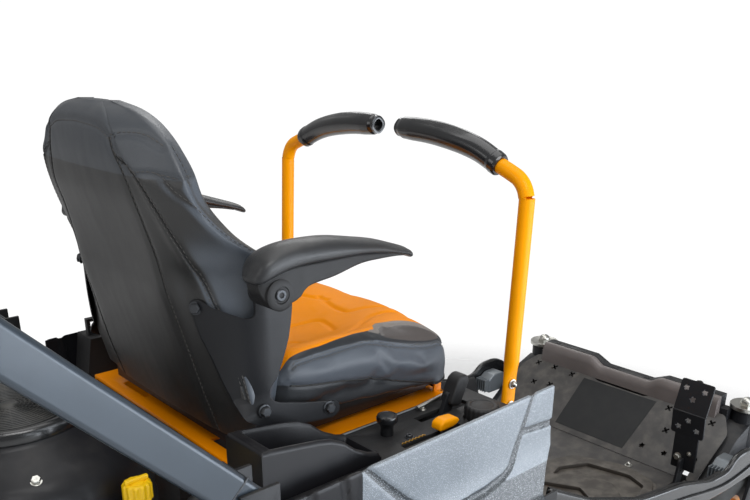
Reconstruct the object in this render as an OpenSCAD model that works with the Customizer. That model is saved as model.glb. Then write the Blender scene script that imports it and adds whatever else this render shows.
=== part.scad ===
// Zero turn mower with lap-bar steering, a lifting side-discharge deck and a folding roll bar.
// X points forward, Y to the operator's left, Z up. The tyres stand on z = 0.

/* [Stance] */
// Distance of the rear axle behind the steering levers
rear_axle_back = 440; // [420:5:470]
// Distance of the caster swivel axis ahead of the steering levers
caster_ahead = 881; // [870:1:960]
// Half the spacing of the two frame rails and caster heads
rail_y = 300; // [296:1:304]

/* [Rear wheels] */
// Outside diameter of a rear tyre
rear_tyre_d = 508; // [480:2:514]
// Width of a rear tyre
rear_tyre_w = 230; // [180:5:260]
// Gap between a frame rail and its rear tyre
rear_tyre_gap = 20; // [14:1:40]
// Diameter of the rim at the tyre bead
rear_rim_d = 254; // [220:2:300]
// Diameter of a drive axle shaft
axle_d = 30; // [24:1:36]

/* [Casters] */
// Outside diameter of a caster tyre
caster_tyre_d = 280; // [250:2:284]
// Width of a caster tyre
caster_tyre_w = 100; // [80:2:110]
// Distance the caster axle trails behind its swivel axis
caster_trail = 75; // [50:1:80]
// Diameter of a fork stem
stem_d = 25; // [20:1:32]

/* [Frame] */
// Width of a frame rail
rail_w = 50; // [40:1:52]
// Height of a frame rail
rail_h = 46; // [40:1:50]
// Wall of the frame rails
rail_wall = 4; // [3:0.5:6]
// Height of the top of the front rails above ground
front_rail_top = 268; // [264:1:276]
// Height of the top of the rear rails above ground
rear_rail_top = 358; // [352:1:366]

/* [Footwell] */
// Thickness of the floor pan and toe board
pan_t = 4; // [2:0.5:6]
// Half the width of the toe board
toe_half_w = 304; // [290:1:312]
// Front edge of the floor pan, where the toe board starts
toe_fold_x = 673; // [660:1:680]
// Slope of the toe board
toe_angle = 37; // [34:1:38]
// Length of the toe board along its slope
toe_len = 198; // [180:1:204]

/* [Deck] */
// Sideways distance between neighbouring blade spindles
spindle_pitch = 410; // [400:1:420]
// Distance of the centre spindle ahead of the outer ones
spindle_stagger = 150; // [140:1:170]
// Length of a blade
blade_len = 425; // [390:1:428]
// Radius of the deck shell round an outer spindle
deck_r = 232; // [226:1:240]
// Height of the deck skirt's lower edge at the lowest cut
deck_low = 35; // [28:1:40]
// Depth of the deck shell
deck_depth = 102; // [90:1:106]
// Sheet thickness of the deck shell
deck_t = 4; // [3:0.5:5]
// How far the deck lifts
deck_lift = 60; // [40:1:62]
// Length of the discharge deflector, measured down its slope
chute_len = 225; // [160:5:260]

/* [Seat] */
// Half the width of the seat cushion
seat_half_w = 230; // [215:1:232]
// Height of the seat back's top
seat_top_z = 1148; // [1130:1:1180]
// Height of the armrest pivots
armrest_z = 930; // [915:1:940]

/* [Steering levers] */
// Diameter of a lever tube
lever_d = 24; // [20:1:26]
// Diameter of a hand grip
grip_d = 34; // [30:1:38]
// Height of a lever's fore-and-aft pivot
lever_pivot_z = 590; // [580:1:600]

/* [Roll bar] */
// Length of a roll bar arm
hoop_len = 880; // [700:10:920]
// Depth of the roll bar tube
hoop_t = 44; // [38:1:46]
// Lean of the folded roll bar from upright
hoop_lean = 44; // [40:1:50]

/* [Engine] */
// Distance of the crankshaft behind the steering levers
crank_back = 683; // [670:1:700]
// Radius of the blower housing
shroud_r = 175; // [160:1:178]
// Radius of the cooling screen
screen_r = 82; // [70:1:90]

/* [Hidden] */

$fn = 48;
hull_fn = 32;
LEFT = 1;
RIGHT = -1;
// Radial clearance of every turning fit
run = 0.05;
// Gap left between pieces that pass or rest close to each other
gap = 0.4;
// Extra diameter of the ball that fills a bend
bend_swell = 1.2;

rail_in = rail_y - rail_w / 2;
rail_out = rail_y + rail_w / 2;
rear_axle_x = -rear_axle_back;
rear_axle_z = rear_tyre_d / 2;
tyre_in = rail_out + rear_tyre_gap;
tyre_out = tyre_in + rear_tyre_w;
frame_back = -940;
engine_plate_t = 6;
plate_top = rear_rail_top + engine_plate_t;
plate_front = -500;
crank_x = -crank_back;
kink_back = -215;
kink_front = -140;

// Caster heads and forks
bush_t = 3;
head_d = 64;
head_low = caster_tyre_d + 16;
head_top = 402;
crown_t = 10;
crown_top = head_low - gap;
washer_t = 7;
caster_axle_x = caster_ahead - caster_trail;
caster_axle_z = caster_tyre_d / 2;
caster_axle_d = 16;
fork_half = caster_tyre_w / 2 + 7;
fork_leg_t = 8;

// Operator platform and consoles
pan_top = front_rail_top + pan_t;
pan_back = kink_front;
platform_top = 680;
platform_t = 6;
platform_half = 246;
platform_back = -465;
platform_front = -60;
console_top = 700;
console_t = 6;
console_back = -330;
console_front = -62;
fender_in = 372;
fender_t = 4;
fender_top = 724;
fender_back = -500;
console_out = fender_in;
lever_x = -20;
lever_pin_d = 12;
park_pivot_z = lever_pivot_z + 50;
park_pin_d = 10;
lever_y = 299;
foot_t = 10;

// Deck heights and spindles, at the lowest cut
deck_top = deck_low + deck_depth;
outer_spindle_x = 165;
centre_spindle_x = outer_spindle_x + spindle_stagger;
shaft_d = 25;
housing_r = 30;
flange_t = 6;
pulley_low = deck_top + 12;
pulley_t = 14;
pulley_r = 72;
groove_r = 60;
flange_w = 3;
blade_z = deck_low + 13;
blade_t = 6;
blade_w = 64;
shaft_top = pulley_low + pulley_t + 12;
clutch_r = 60;

// Seat lines
seat_y = 235;
hinge_x = -70;
hinge_z = 694;
bracket_t = 5;
bracket_in = seat_y + 1.5;
bracket_out = bracket_in + bracket_t;
armrest_x = -426;
armrest_pin_d = 12;

// Roll bar
hoop_w = 49;
hoop_y = 385;
hoop_x = -565;
hoop_z = 748;
hoop_pin_d = 16;
ear_t = 5;

module on_side(s) {
    if (s == LEFT) children();
    else mirror([0, 1, 0]) children();
}
module both_sides() {
    on_side(LEFT) children();
    on_side(RIGHT) children();
}
// Outline in X and Z, extruded from y0 to y1
module slab_xz(points, y0, y1) {
    translate([0, y1, 0]) rotate([90, 0, 0]) linear_extrude(y1 - y0) polygon(points);
}
// Outline in Y and Z, extruded from x0 to x1
module slab_yz(points, x0, x1) {
    translate([x0, 0, 0]) rotate([90, 0, 90]) linear_extrude(x1 - x0) polygon(points);
}
// Outline in X and Y, extruded from z0 to z1
module slab_xy(points, z0, z1) {
    translate([0, 0, z0]) linear_extrude(z1 - z0) polygon(points);
}
module block(low, high) {
    translate(low) cube(high - low);
}
module rod_x(y, z, d, x0, x1) {
    translate([x0, y, z]) rotate([0, 90, 0]) cylinder(d = d, h = x1 - x0);
}
module rod_y(x, z, d, y0, y1) {
    translate([x, y0, z]) rotate([-90, 0, 0]) cylinder(d = d, h = y1 - y0);
}
module rod_z(x, y, d, z0, z1) {
    translate([x, y, z0]) cylinder(d = d, h = z1 - z0);
}
// Round bar through a list of points, with a ball at each bend
module bent_bar(points, d) {
    for (i = [0 : len(points) - 2]) {
        step = points[i + 1] - points[i];
        length = norm(step);
        translate(points[i])
            rotate([0, acos(step[2] / length), atan2(step[1], step[0])])
                cylinder(d = d, h = length);
        if (i > 0) translate(points[i]) sphere(d = d + bend_swell);
    }
}

// ---------- Frame ----------
rail_outline = [
    [frame_back, rear_rail_top - rail_h], [kink_back - 20, rear_rail_top - rail_h],
    [kink_front - 20, front_rail_top - rail_h], [toe_fold_x - 1, front_rail_top - rail_h],
    [caster_ahead - 121, head_low], [caster_ahead - 26, head_low],
    [caster_ahead - 26, head_low + 76], [caster_ahead - 81, head_low + 56],
    [toe_fold_x + 15, front_rail_top], [kink_front, front_rail_top],
    [kink_back, rear_rail_top], [frame_back, rear_rail_top],
];
post_outline = [
    [rail_in, rear_rail_top], [rail_out, rear_rail_top], [rail_out, 530],
    [hoop_y + hoop_w / 2, 610], [hoop_y + hoop_w / 2, 715], [hoop_y - hoop_w / 2, 715],
    [hoop_y - hoop_w / 2, 640], [rail_in, 560],
];
beam_middle_top = 412;
beam_end_top = 430;
beam_low = 364;
beam_step_y = 256;
beam_outline = [
    [-rail_in, beam_low], [rail_in, beam_low], [rail_in, head_top - 2], [beam_step_y, head_top - 2],
    [beam_step_y, beam_end_top], [105, beam_end_top], [65, beam_middle_top], [-65, beam_middle_top],
    [-105, beam_end_top], [-beam_step_y, beam_end_top], [-beam_step_y, head_top - 2],
    [-rail_in, head_top - 2],
];
beam_back = caster_ahead - 44;
beam_front = caster_ahead - 18;
tower_t = 6;
tower_in = platform_half + gap * 10;

module rail() {
    difference() {
        union() {
            slab_xz(rail_outline, rail_in, rail_out);
            rod_z(caster_ahead, rail_y, head_d, head_low, head_top);
        }
        block(
            [frame_back - 1, rail_in + rail_wall, rear_rail_top - rail_h + rail_wall],
            [kink_back - 25, rail_out - rail_wall, rear_rail_top - rail_wall]
        );
        block(
            [kink_front + 5, rail_in + rail_wall, front_rail_top - rail_h + rail_wall],
            [toe_fold_x - 20, rail_out - rail_wall, front_rail_top - rail_wall]
        );
        rod_z(caster_ahead, rail_y, stem_d + 2 * run, head_low - 1, head_top + 1);
    }
}
module roll_bar_post() {
    slab_yz(post_outline, hoop_x - 25, hoop_x + 25);
    for (y = [hoop_y - hoop_w / 2 - ear_t - gap, hoop_y + hoop_w / 2 + gap])
        block([hoop_x - 25, y, 640], [hoop_x + 25, y + ear_t, hoop_z + 27]);
    for (y = [hoop_y - hoop_w / 2 - gap - 1, hoop_y + hoop_w / 2 - 1])
        block([hoop_x - 25, y, 650], [hoop_x + 25, y + gap + 1.5, 715]);
    rod_y(hoop_x, hoop_z, hoop_pin_d, hoop_y - hoop_w / 2 - 14, hoop_y + hoop_w / 2 + 14);
}
module lever_tower() {
    block([-60, tower_in, front_rail_top], [40, tower_in + tower_t, lever_pivot_z + 22]);
    block([-60, tower_in, front_rail_top], [40, rail_out, front_rail_top + tower_t]);
    rod_y(lever_x, lever_pivot_z, lever_pin_d, tower_in, lever_y + 18);
}
module main_frame() color("#26282b") {
    both_sides() {
        rail();
        roll_bar_post();
        lever_tower();
    }
    rod_y(pedal_pivot[0], pedal_pivot[1], pedal_pin_d, -rail_in - 2, pedal_y + pedal_t / 2 + 4);
    slab_yz(beam_outline, beam_back, beam_front);
    block([frame_back, -rail_in, rear_rail_top - rail_h], [frame_back + rail_w, rail_in, rear_rail_top]);
    block([-560, -rail_in, rear_rail_top - 22], [-520, rail_in, rear_rail_top]);
    block([-90, -rail_in, front_rail_top - rail_h], [-50, rail_in, front_rail_top - 6]);
    difference() {
        block([frame_back, -rail_out, rear_rail_top], [plate_front, rail_out, plate_top]);
        rod_z(crank_x, 0, 80, rear_rail_top - 1, plate_top + 1);
    }
}

guard_tube_d = 38;
guard_x = frame_back - 25;
guard_top = 560;
hitch_d = 13.5;
hitch_x = -985;
hitch_t = 8;
hitch_low = 330;
module rear_guard() color("#26282b") {
    block([frame_back - 8, -rail_out, 300], [frame_back, rail_out, 372]);
    for (y = [-rail_y, rail_y]) rod_z(guard_x, y, guard_tube_d, 300, guard_top);
    rod_y(guard_x, guard_top - guard_tube_d / 2, guard_tube_d, -rail_y, rail_y);
    difference() {
        block([hitch_x - 25, -60, hitch_low], [frame_back - 8, 60, hitch_low + hitch_t]);
        rod_z(hitch_x, 0, hitch_d, hitch_low - 1, hitch_low + hitch_t + 1);
    }
}

// ---------- Footwell ----------
pedal_y = -269;
pedal_t = 6;
slot_half = pedal_t / 2 + 4;
module floor_pan() color("#34322f") {
    difference() {
        block([pan_back, -toe_half_w - 18, front_rail_top], [toe_fold_x, toe_half_w + 18, pan_top]);
        block([600, pedal_y - slot_half, front_rail_top - 1], [toe_fold_x + 1, pedal_y + slot_half, pan_top + 1]);
        for (s = [LEFT, RIGHT]) on_side(s)
            block([pan_back - 1, tower_in - gap, front_rail_top - 1], [41, rail_out + 1, pan_top + 1]);
    }
}
toe_start_x = toe_fold_x + pan_t * sin(toe_angle) + gap / 4;
toe_top = toe_len;
toe_mid_top = toe_len - 22;
toe_outline = [
    [-toe_half_w, 0], [toe_half_w, 0], [toe_half_w, toe_top], [105, toe_top], [65, toe_mid_top],
    [-65, toe_mid_top], [-105, toe_top], [-toe_half_w, toe_top],
];
cross_spots = [
    [255, 155], [200, 157], [145, 155], [262, 80], [205, 88],
    [-150, 150], [-150, 78], [-205, 88], [-262, 150],
];
module cross_cut() {
    for (turn = [45, 135]) rotate([0, 0, turn]) translate([-9, -2.2, -1]) cube([18, 4.4, pan_t + 2]);
}
module toe_board() color("#333336") {
    translate([toe_start_x, 0, front_rail_top]) rotate([0, -toe_angle, 0]) rotate([0, 0, -90])
        difference() {
            linear_extrude(pan_t) polygon(toe_outline);
            for (p = cross_spots) translate([-p[0], p[1], 0]) cross_cut();
            translate([-pedal_y - slot_half, -1, -1]) cube([2 * slot_half, 66, pan_t + 2]);
        }
}
guard_in = 366;
guard_t = 14;
side_guard_outline = [
    [10, 545], [150, 468], [311, 409], [463, 383], [586, 346], [662, 341], [694, 367], [753, 369],
    [800, 345], [815, 315], [806, head_low - 6], [690, head_low - 6], [586, head_low], [463, 318],
    [311, 345], [150, 395], [10, 440],
];
module side_guards() color("#17181a") {
    both_sides() {
        slab_xz(side_guard_outline, guard_in, guard_in + guard_t);
        block([470, rail_out, 236], [520, guard_in, 262]);
        block([470, guard_in - 4, 236], [520, guard_in, 345]);
        block([12, rail_out, 236], [52, guard_in, 262]);
        block([12, guard_in - 4, 236], [52, guard_in, 440]);
    }
}
light_in = rail_out + 2;
light_out = guard_in - gap;
light_outline = [
    [680, head_low - 4], [752, head_low - 4], [752, 330], [736, 344], [700, 344], [680, 330],
];
module headlights() color("#8d949a") {
    both_sides() {
        slab_xz(light_outline, light_in, light_out);
        for (i = [0 : 4]) block([664, light_in + 2 + i * 8, head_low + 2], [682, light_in + 5 + i * 8, 334]);
    }
}

// ---------- Body panels ----------
fender_outline = [
    [fender_in, fender_top], [fender_in, 560], [392, 548], [tyre_out - 6, 540],
    [tyre_out + 2, 520], [tyre_out + 6, 520], [tyre_out, 544], [394, 552],
    [fender_in + 22, 575], [fender_in + fender_t, 640], [fender_in + fender_t, fender_top],
];
module fender() {
    slab_yz(fender_outline, fender_back, 0);
    block([-45, 395, 440], [0, 399, 556]);
    block([-45, guard_in + guard_t, 440], [0, 399, 444]);
}
module left_fender() color("#8494a3") on_side(LEFT) fender();
module right_fender() color("#8494a3") on_side(RIGHT) fender();

throttle_y = 334;
throttle_pivot = [-225, 640];
throttle_pin_d = 6;
knob_at = [-270, 290];
knob_stem_d = 14;
brake_y = 285;
brake_pivot = [-165, 650];
brake_pin_d = 8;
cap_at = [-128, 341];
cap_r = 26;
neck_r = 20;
module console_plate() {
    block([console_back, platform_half, console_top - console_t], [console_front, console_out, console_top]);
    block([console_back, platform_half, 640], [console_front, platform_half + 4, console_top]);
}
module right_console() color("#2b2b2d") on_side(RIGHT) {
    difference() {
        console_plate();
        block([-280, throttle_y - 4, console_top - 8], [-168, throttle_y + 4, console_top + 1]);
        block([-205, brake_y - 9, console_top - 8], [-100, brake_y + 9, console_top + 1]);
        rod_z(knob_at[0], knob_at[1], knob_stem_d + 2 * run, console_top - 8, console_top + 1);
        rod_z(cap_at[0], cap_at[1], 2 * cap_r + 2, console_top - 8, console_top + 1);
    }
    block([-237, throttle_y + 7, 630], [-213, throttle_y + 11, console_top - console_t]);
    rod_y(throttle_pivot[0], throttle_pivot[1], throttle_pin_d, throttle_y - 4, throttle_y + 8);
    block([-177, brake_y + 11, 638], [-153, brake_y + 15, console_top - console_t]);
    rod_y(brake_pivot[0], brake_pivot[1], brake_pin_d, brake_y - 9, brake_y + 12);
}
cup_at = [-250, 310];
cup_r = 42;
cup_low = 604;
key_at = [-140, 330];
key_shaft_d = 6;
tower_outline = [[-462, 640], [-446, 728], [-408, 728], [-392, 640]];
module left_console() color("#2b2b2d") on_side(LEFT) {
    difference() {
        union() {
            console_plate();
            rod_z(cup_at[0], cup_at[1], 2 * cup_r, cup_low, console_top);
            rod_z(key_at[0], key_at[1], 30, console_top - 30, console_top + 5);
        }
        rod_z(cup_at[0], cup_at[1], 2 * cup_r - 8, cup_low + 4, console_top + 1);
        rod_z(key_at[0], key_at[1], key_shaft_d + 2 * run, console_top - 20, console_top + 6);
    }
    block([-517, platform_half, 640], [console_back, fender_in, 646]);
    slab_xz(tower_outline, 290, 345);
    difference() {
        block([-440, 312, 728], [-414, 322, 758]);
        block([-434, 311, 734], [-420, 323, 752]);
    }
}
box_back = -517;
box_in = 268;
box_out = 346;
box_low = 646;
box_wall = 4;
box_outline = [
    [box_back, box_low], [box_back, 775], [-432, 761], [-400, 748], [-360, 722], [console_back, 712],
    [console_back, box_low],
];
pocket_outline = [
    [box_back + box_wall, box_low + box_wall], [box_back + box_wall, 800], [console_back - box_wall, 800],
    [console_back - box_wall, 700], [-360, box_low + box_wall],
];
module storage_box() color("#2c2c2d") on_side(RIGHT) {
    difference() {
        slab_xz(box_outline, box_in, box_out);
        slab_xz(pocket_outline, box_in + box_wall, box_out - box_wall);
    }
    block([box_back, platform_half, box_low - 6], [console_back, fender_in, box_low]);
}

module seat_platform() color("#e88a10") {
    difference() {
        block([platform_back, -platform_half, platform_top - platform_t], [platform_front, platform_half, platform_top]);
        for (s = [LEFT, RIGHT]) on_side(s) {
            block([-445, 100, platform_top - 10], [-395, 180, platform_top + 1]);
            block([-360, 80, platform_top - 10], [-160, 170, platform_top + 1]);
        }
    }
    both_sides() {
        block([platform_back, platform_half - 4, rear_rail_top], [kink_back, platform_half, platform_top]);
        block([platform_back, platform_half - 4, rear_rail_top], [kink_back - 10, rail_out, rear_rail_top + 4]);
        block([kink_back, platform_half - 4, 560], [platform_front, platform_half, platform_top]);
        for (y = [146, 190]) block([hinge_x - 8, y, platform_top - 1], [hinge_x + 8, y + 4, hinge_z + 10]);
        rod_y(hinge_x, hinge_z, 10, 146, 194);
    }
}
module fuel_tank() color("#1d1e20") on_side(RIGHT) {
    block([-165, 302, 400], [-66, 366, console_top - console_t]);
    rod_z(cap_at[0], cap_at[1], 2 * neck_r, console_top - console_t - 1, console_top + 11);
    block([-150, platform_half, 600], [-80, 303, 604]);
}
module battery() color("#202124") {
    block([-420, 60, 420], [-240, 190, 600]);
    for (y = [90, 160]) rod_z(-300, y, 16, 599, 612);
    block([-460, 40, 416], [-220, platform_half - 4, 420]);
}

// ---------- Drive ----------
axle_in = 205;
module transaxles() color("#55585b") {
    both_sides() difference() {
        union() {
            block([rear_axle_x - 78, 150, 196], [rear_axle_x + 68, 262, 306]);
            rod_y(rear_axle_x, rear_axle_z, 74, 240, tyre_in - 12);
            block([rear_axle_x - 60, 236, 296], [rear_axle_x + 50, rail_out, rear_rail_top - rail_h]);
            rod_z(rear_axle_x - 5, 195, 20, 305, 318);
            rod_z(rear_axle_x - 5, 195, 110, 318, 332);
        }
        rod_y(rear_axle_x, rear_axle_z, axle_d + 2 * run, axle_in - gap, tyre_in);
    }
}
bead_w = rear_tyre_w - 50;
function tyre_profile(r, rim, w, wall) = [
    [rim, w / 2 - 18], [rim + 14, w / 2 - 4], [(r + rim) / 2, w / 2], [r - 26, w / 2 - 3],
    [r - 8, w / 2 - 16], [r, w / 2 - 40], [r, -w / 2 + 40], [r - 8, -w / 2 + 16],
    [r - 26, -w / 2 + 3], [(r + rim) / 2, -w / 2], [rim + 14, -w / 2 + 4], [rim, -w / 2 + 18],
    [rim, -w / 2 + 18 + wall], [rim + 12, -w / 2 + 4 + wall], [(r + rim) / 2, -w / 2 + wall],
    [r - 30, -w / 2 + 4 + wall], [r - wall, -w / 2 + 44], [r - wall, w / 2 - 44],
    [r - 30, w / 2 - 4 - wall], [(r + rim) / 2, w / 2 - wall], [rim + 12, w / 2 - 4 - wall],
    [rim, w / 2 - 18 - wall],
];
module on_rear_axle() {
    translate([rear_axle_x, (tyre_in + tyre_out) / 2, rear_axle_z]) rotate([-90, 0, 0]) children();
}
module rear_tyre() {
    on_rear_axle() rotate_extrude() polygon(tyre_profile(rear_tyre_d / 2, rear_rim_d / 2, rear_tyre_w, 14));
}
rear_rim_half = rear_tyre_w / 2 - 18;
module rear_rim() {
    r = rear_rim_d / 2;
    on_rear_axle() rotate_extrude() polygon([
        [0, 20], [60, 20], [72, 34], [r - 18, 34], [r - 8, rear_rim_half], [r, rear_rim_half],
        [r, -rear_rim_half], [r - 8, -rear_rim_half], [r - 18, 20], [72, 20], [60, 4], [0, 4],
    ]);
    rod_y(rear_axle_x, rear_axle_z, 76, tyre_in + 20, tyre_in + rear_tyre_w / 2 + 6);
    rod_y(rear_axle_x, rear_axle_z, axle_d, axle_in, tyre_in + 30);
}
module left_rear_tyre() color("#1b1b1b") on_side(LEFT) rear_tyre();
module right_rear_tyre() color("#1b1b1b") on_side(RIGHT) rear_tyre();
module left_rear_rim() color("#e88a10") on_side(LEFT) rear_rim();
module right_rear_rim() color("#e88a10") on_side(RIGHT) rear_rim();

fork_leg_outline = [
    [caster_ahead - 42, crown_top - crown_t], [caster_ahead + 30, crown_top - crown_t],
    [caster_axle_x + 24, caster_axle_z - 8], [caster_axle_x + 12, caster_axle_z - 24],
    [caster_axle_x - 12, caster_axle_z - 24], [caster_axle_x - 24, caster_axle_z - 8],
];
module caster_fork() {
    block([caster_ahead - 42, rail_y - fork_half - fork_leg_t, crown_top - crown_t],
        [caster_ahead + 30, rail_y + fork_half + fork_leg_t, crown_top]);
    for (y = [rail_y - fork_half - fork_leg_t, rail_y + fork_half])
        slab_xz(fork_leg_outline, y, y + fork_leg_t);
    rod_y(caster_axle_x, caster_axle_z, caster_axle_d, rail_y - fork_half - 14, rail_y + fork_half + 14);
    rod_z(caster_ahead, rail_y, stem_d, crown_top - 2, head_top + 2);
    rod_z(caster_ahead, rail_y, 76, head_top + gap, head_top + gap + washer_t);
    rod_z(caster_ahead, rail_y, 24, head_top + 2, head_top + 16);
    translate([caster_ahead, rail_y, head_top + 14]) sphere(d = 18);
}
module left_caster_fork() color("#26282b") on_side(LEFT) caster_fork();
module right_caster_fork() color("#26282b") on_side(RIGHT) caster_fork();
caster_rim_r = 62;
module caster_wheel() {
    translate([caster_axle_x, rail_y, caster_axle_z]) rotate([-90, 0, 0]) {
        rotate_extrude() polygon(tyre_profile(caster_tyre_d / 2, caster_rim_r + 0.3, caster_tyre_w, 10));
        rotate_extrude() polygon([
            [caster_axle_d / 2 + run, fork_half - 1], [20, fork_half - 1], [20, 10], [caster_rim_r - 10, 10],
            [caster_rim_r - 8, 32], [caster_rim_r, 32], [caster_rim_r, -32], [caster_rim_r - 8, -32],
            [caster_rim_r - 10, -10], [20, -10], [20, -fork_half + 1], [caster_axle_d / 2 + run, -fork_half + 1],
        ]);
    }
}
module left_caster_wheel() color("#1b1b1b") on_side(LEFT) caster_wheel();
module right_caster_wheel() color("#1b1b1b") on_side(RIGHT) caster_wheel();

// ---------- Engine ----------
crankcase_r = 118;
crankcase_top = 562;
shroud_low = crankcase_top;
lip_top = 778;
fan_low = 700;
crank_d = 28;
bank_angle = 45;
bore_z = 494;
oil_at = [-600, -184];
oil_top = 690;
oil_tube_r = 14;
module engine_block() color("#4a4c4f") {
    difference() {
        rod_z(crank_x, 0, 2 * crankcase_r, plate_top, crankcase_top);
        rod_z(crank_x, 0, crank_d + 2 * run, plate_top - 1, crankcase_top + 1);
        rod_z(crank_x, 0, 180, plate_top + 20, crankcase_top - 20);
    }
    for (turn = [180 - bank_angle, 180 + bank_angle]) translate([crank_x, 0, bore_z]) rotate([0, 0, turn]) {
        rotate([0, 90, 0]) translate([0, 0, crankcase_r - 12]) cylinder(r = 42, h = 76);
        for (i = [0 : 4]) translate([crankcase_r + 4 + i * 12, -58, -48]) cube([5, 116, 96]);
        translate([crankcase_r + 62, -52, -46]) cube([36, 104, 92]);
    }
    rod_z(oil_at[0], oil_at[1], 2 * oil_tube_r, 400, oil_top);
    block([oil_at[0] - 14, oil_at[1], 400], [oil_at[0] + 14, -60, 428]);
}
module engine_shroud() color("#232427") {
    translate([crank_x, 0, 0]) rotate_extrude() polygon([
        [96, shroud_low], [shroud_r, shroud_low], [shroud_r, 690], [shroud_r - 8, 716], [shroud_r - 28, 738],
        [screen_r + 28, 762], [screen_r + 26, lip_top], [screen_r + gap, lip_top], [screen_r + gap, 764],
        [screen_r + 20, 758], [shroud_r - 32, 733], [shroud_r - 12, 713], [shroud_r - 4, 689],
        [shroud_r - 4, shroud_low + 4], [96, shroud_low + 4],
    ]);
}
module fan_screen() color("#1a1a1b") translate([crank_x, 0, 768]) {
    for (r = [12 : 10 : screen_r]) difference() {
        cylinder(r = r, h = 4);
        translate([0, 0, -1]) cylinder(r = r - 4, h = 6);
    }
    for (turn = [0 : 45 : 315]) rotate([0, 0, turn]) translate([9, -2, 0]) cube([screen_r - 10, 4, 4]);
}
module engine_fan() color("#b9bcc0") {
    rod_z(crank_x, 0, crank_d, clutch_low + 36, fan_low + 6);
    rod_z(crank_x, 0, 130, fan_low, fan_low + 8);
    for (turn = [0 : 45 : 315]) translate([crank_x, 0, fan_low + 6]) rotate([0, 0, turn])
        translate([30, -2, 0]) cube([34, 4, 42]);
    rod_z(crank_x, 0, 110, 318, 332);
}
muffler_x = -893;
muffler_z = 406;
muffler_d = 68;
module muffler() color("#3a3a3c") {
    rod_y(muffler_x, muffler_z, muffler_d, -120, 120);
    for (y = [-70, 70]) block([muffler_x - 20, y - 10, plate_top], [muffler_x + 20, y + 10, muffler_z - 20]);
    rod_x(-90, muffler_z, 30, frame_back - 2, muffler_x - 20);
}
module air_cleaner() color("#232427") {
    block([-790, shroud_r + gap, 596], [-600, shroud_r + 62, 694]);
}
module oil_cap() color("#f5c400") difference() {
    rod_z(oil_at[0], oil_at[1], 38, oil_top - 14, oil_top + 12);
    rod_z(oil_at[0], oil_at[1], 2 * (oil_tube_r + run), oil_top - 15, oil_top + gap);
}
clutch_low = pulley_low;
module clutch_pulley() color("#7a7d80") difference() {
    union() {
        rod_z(crank_x, 0, 2 * clutch_r + 20, clutch_low + pulley_t, clutch_low + pulley_t + 3);
        rod_z(crank_x, 0, 2 * clutch_r, clutch_low - 1, clutch_low + pulley_t);
        rod_z(crank_x, 0, 2 * clutch_r + 20, clutch_low - 4, clutch_low - 1);
        rod_z(crank_x, 0, 120, clutch_low + pulley_t, clutch_low + pulley_t + 70);
    }
    rod_z(crank_x, 0, crank_d + 2 * run, clutch_low + 30, clutch_low + 100);
}

// ---------- Roll bar ----------
module roll_bar() color("#7d8b99") translate([hoop_x, 0, hoop_z]) rotate([0, -hoop_lean, 0]) {
    both_sides() difference() {
        union() {
            block([-hoop_t / 2, hoop_y - hoop_w / 2, 0], [hoop_t / 2, hoop_y + hoop_w / 2, hoop_len]);
            rod_y(0, 0, hoop_t, hoop_y - hoop_w / 2, hoop_y + hoop_w / 2);
        }
        rod_y(0, 0, hoop_pin_d + 2 * run, hoop_y - hoop_w, hoop_y + hoop_w);
        block([-hoop_t / 2 + 4, hoop_y - hoop_w / 2 + 4, 60], [hoop_t / 2 - 4, hoop_y + hoop_w / 2 - 4, hoop_len - 60]);
    }
    block([-hoop_t / 2, -hoop_y, hoop_len - hoop_w], [hoop_t / 2, hoop_y, hoop_len]);
}

// ---------- Deck ----------
module deck_body(r, z0, z1) {
    for (y = [-spindle_pitch, spindle_pitch]) rod_z(outer_spindle_x, y, 2 * r, z0, z1);
    rod_z(centre_spindle_x, 0, 2 * r, z0, z1);
    block([outer_spindle_x - r, -spindle_pitch, z0], [outer_spindle_x + r, spindle_pitch, z1]);
}
roller_d = 90;
roller_w = 56;
roller_x = 445;
roller_y = 500;
roller_z = deck_low + 25;
roller_axle_d = 12;
module roller_bracket() {
    for (y = [roller_y - roller_w / 2 - 6, roller_y + roller_w / 2 + 1])
        block([390, y, roller_z - 12], [roller_x + 14, y + 5, roller_z + 12]);
    block([376, roller_y - roller_w / 2 - 6, roller_z - 12], [392, roller_y + roller_w / 2 + 6, roller_z + 12]);
    rod_y(roller_x, roller_z, roller_axle_d, roller_y - roller_w / 2 - 6, roller_y + roller_w / 2 + 6);
}
hanger_spots = [-58, 350];
hinge_y = -(spindle_pitch + deck_r + 4);
discharge_y = -(spindle_pitch + 188);
chute_x0 = 30;
chute_x1 = 330;
chute_pin_d = 10;
chute_slope = 20;
module deck_shell() color("#1c1d1f") {
    difference() {
        deck_body(deck_r, deck_low, deck_top);
        deck_body(deck_r - deck_t, deck_low - 1, deck_top - deck_t);
        for (p = spindles) rod_z(p[0], p[1], 2 * housing_r, deck_low, deck_top + 1);
        block([chute_x0 + 15, hinge_y, deck_low - 1], [chute_x1 - 15, discharge_y, deck_top - 22]);
    }
    both_sides() for (x = hanger_spots) {
        block([x, rail_out + gap, deck_top - 1], [x + 32, rail_out + gap + 6, deck_top + 112]);
        block([x, rail_out - 24, deck_top - 1], [x + 32, rail_out + gap + 6, deck_top + 5]);
    }
    for (s = [LEFT, RIGHT]) on_side(s) roller_bracket();
    for (x = [chute_x0 - 6, chute_x1 + 1])
        block([x, hinge_y - 10, deck_top - 8], [x + 5, hinge_y + 70, deck_top + 19]);
    rod_x(hinge_y, deck_top + 11, chute_pin_d, chute_x0 - 8, chute_x1 + 8);
}
spindles = [
    [outer_spindle_x, spindle_pitch], [centre_spindle_x, 0], [outer_spindle_x, -spindle_pitch],
];
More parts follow.
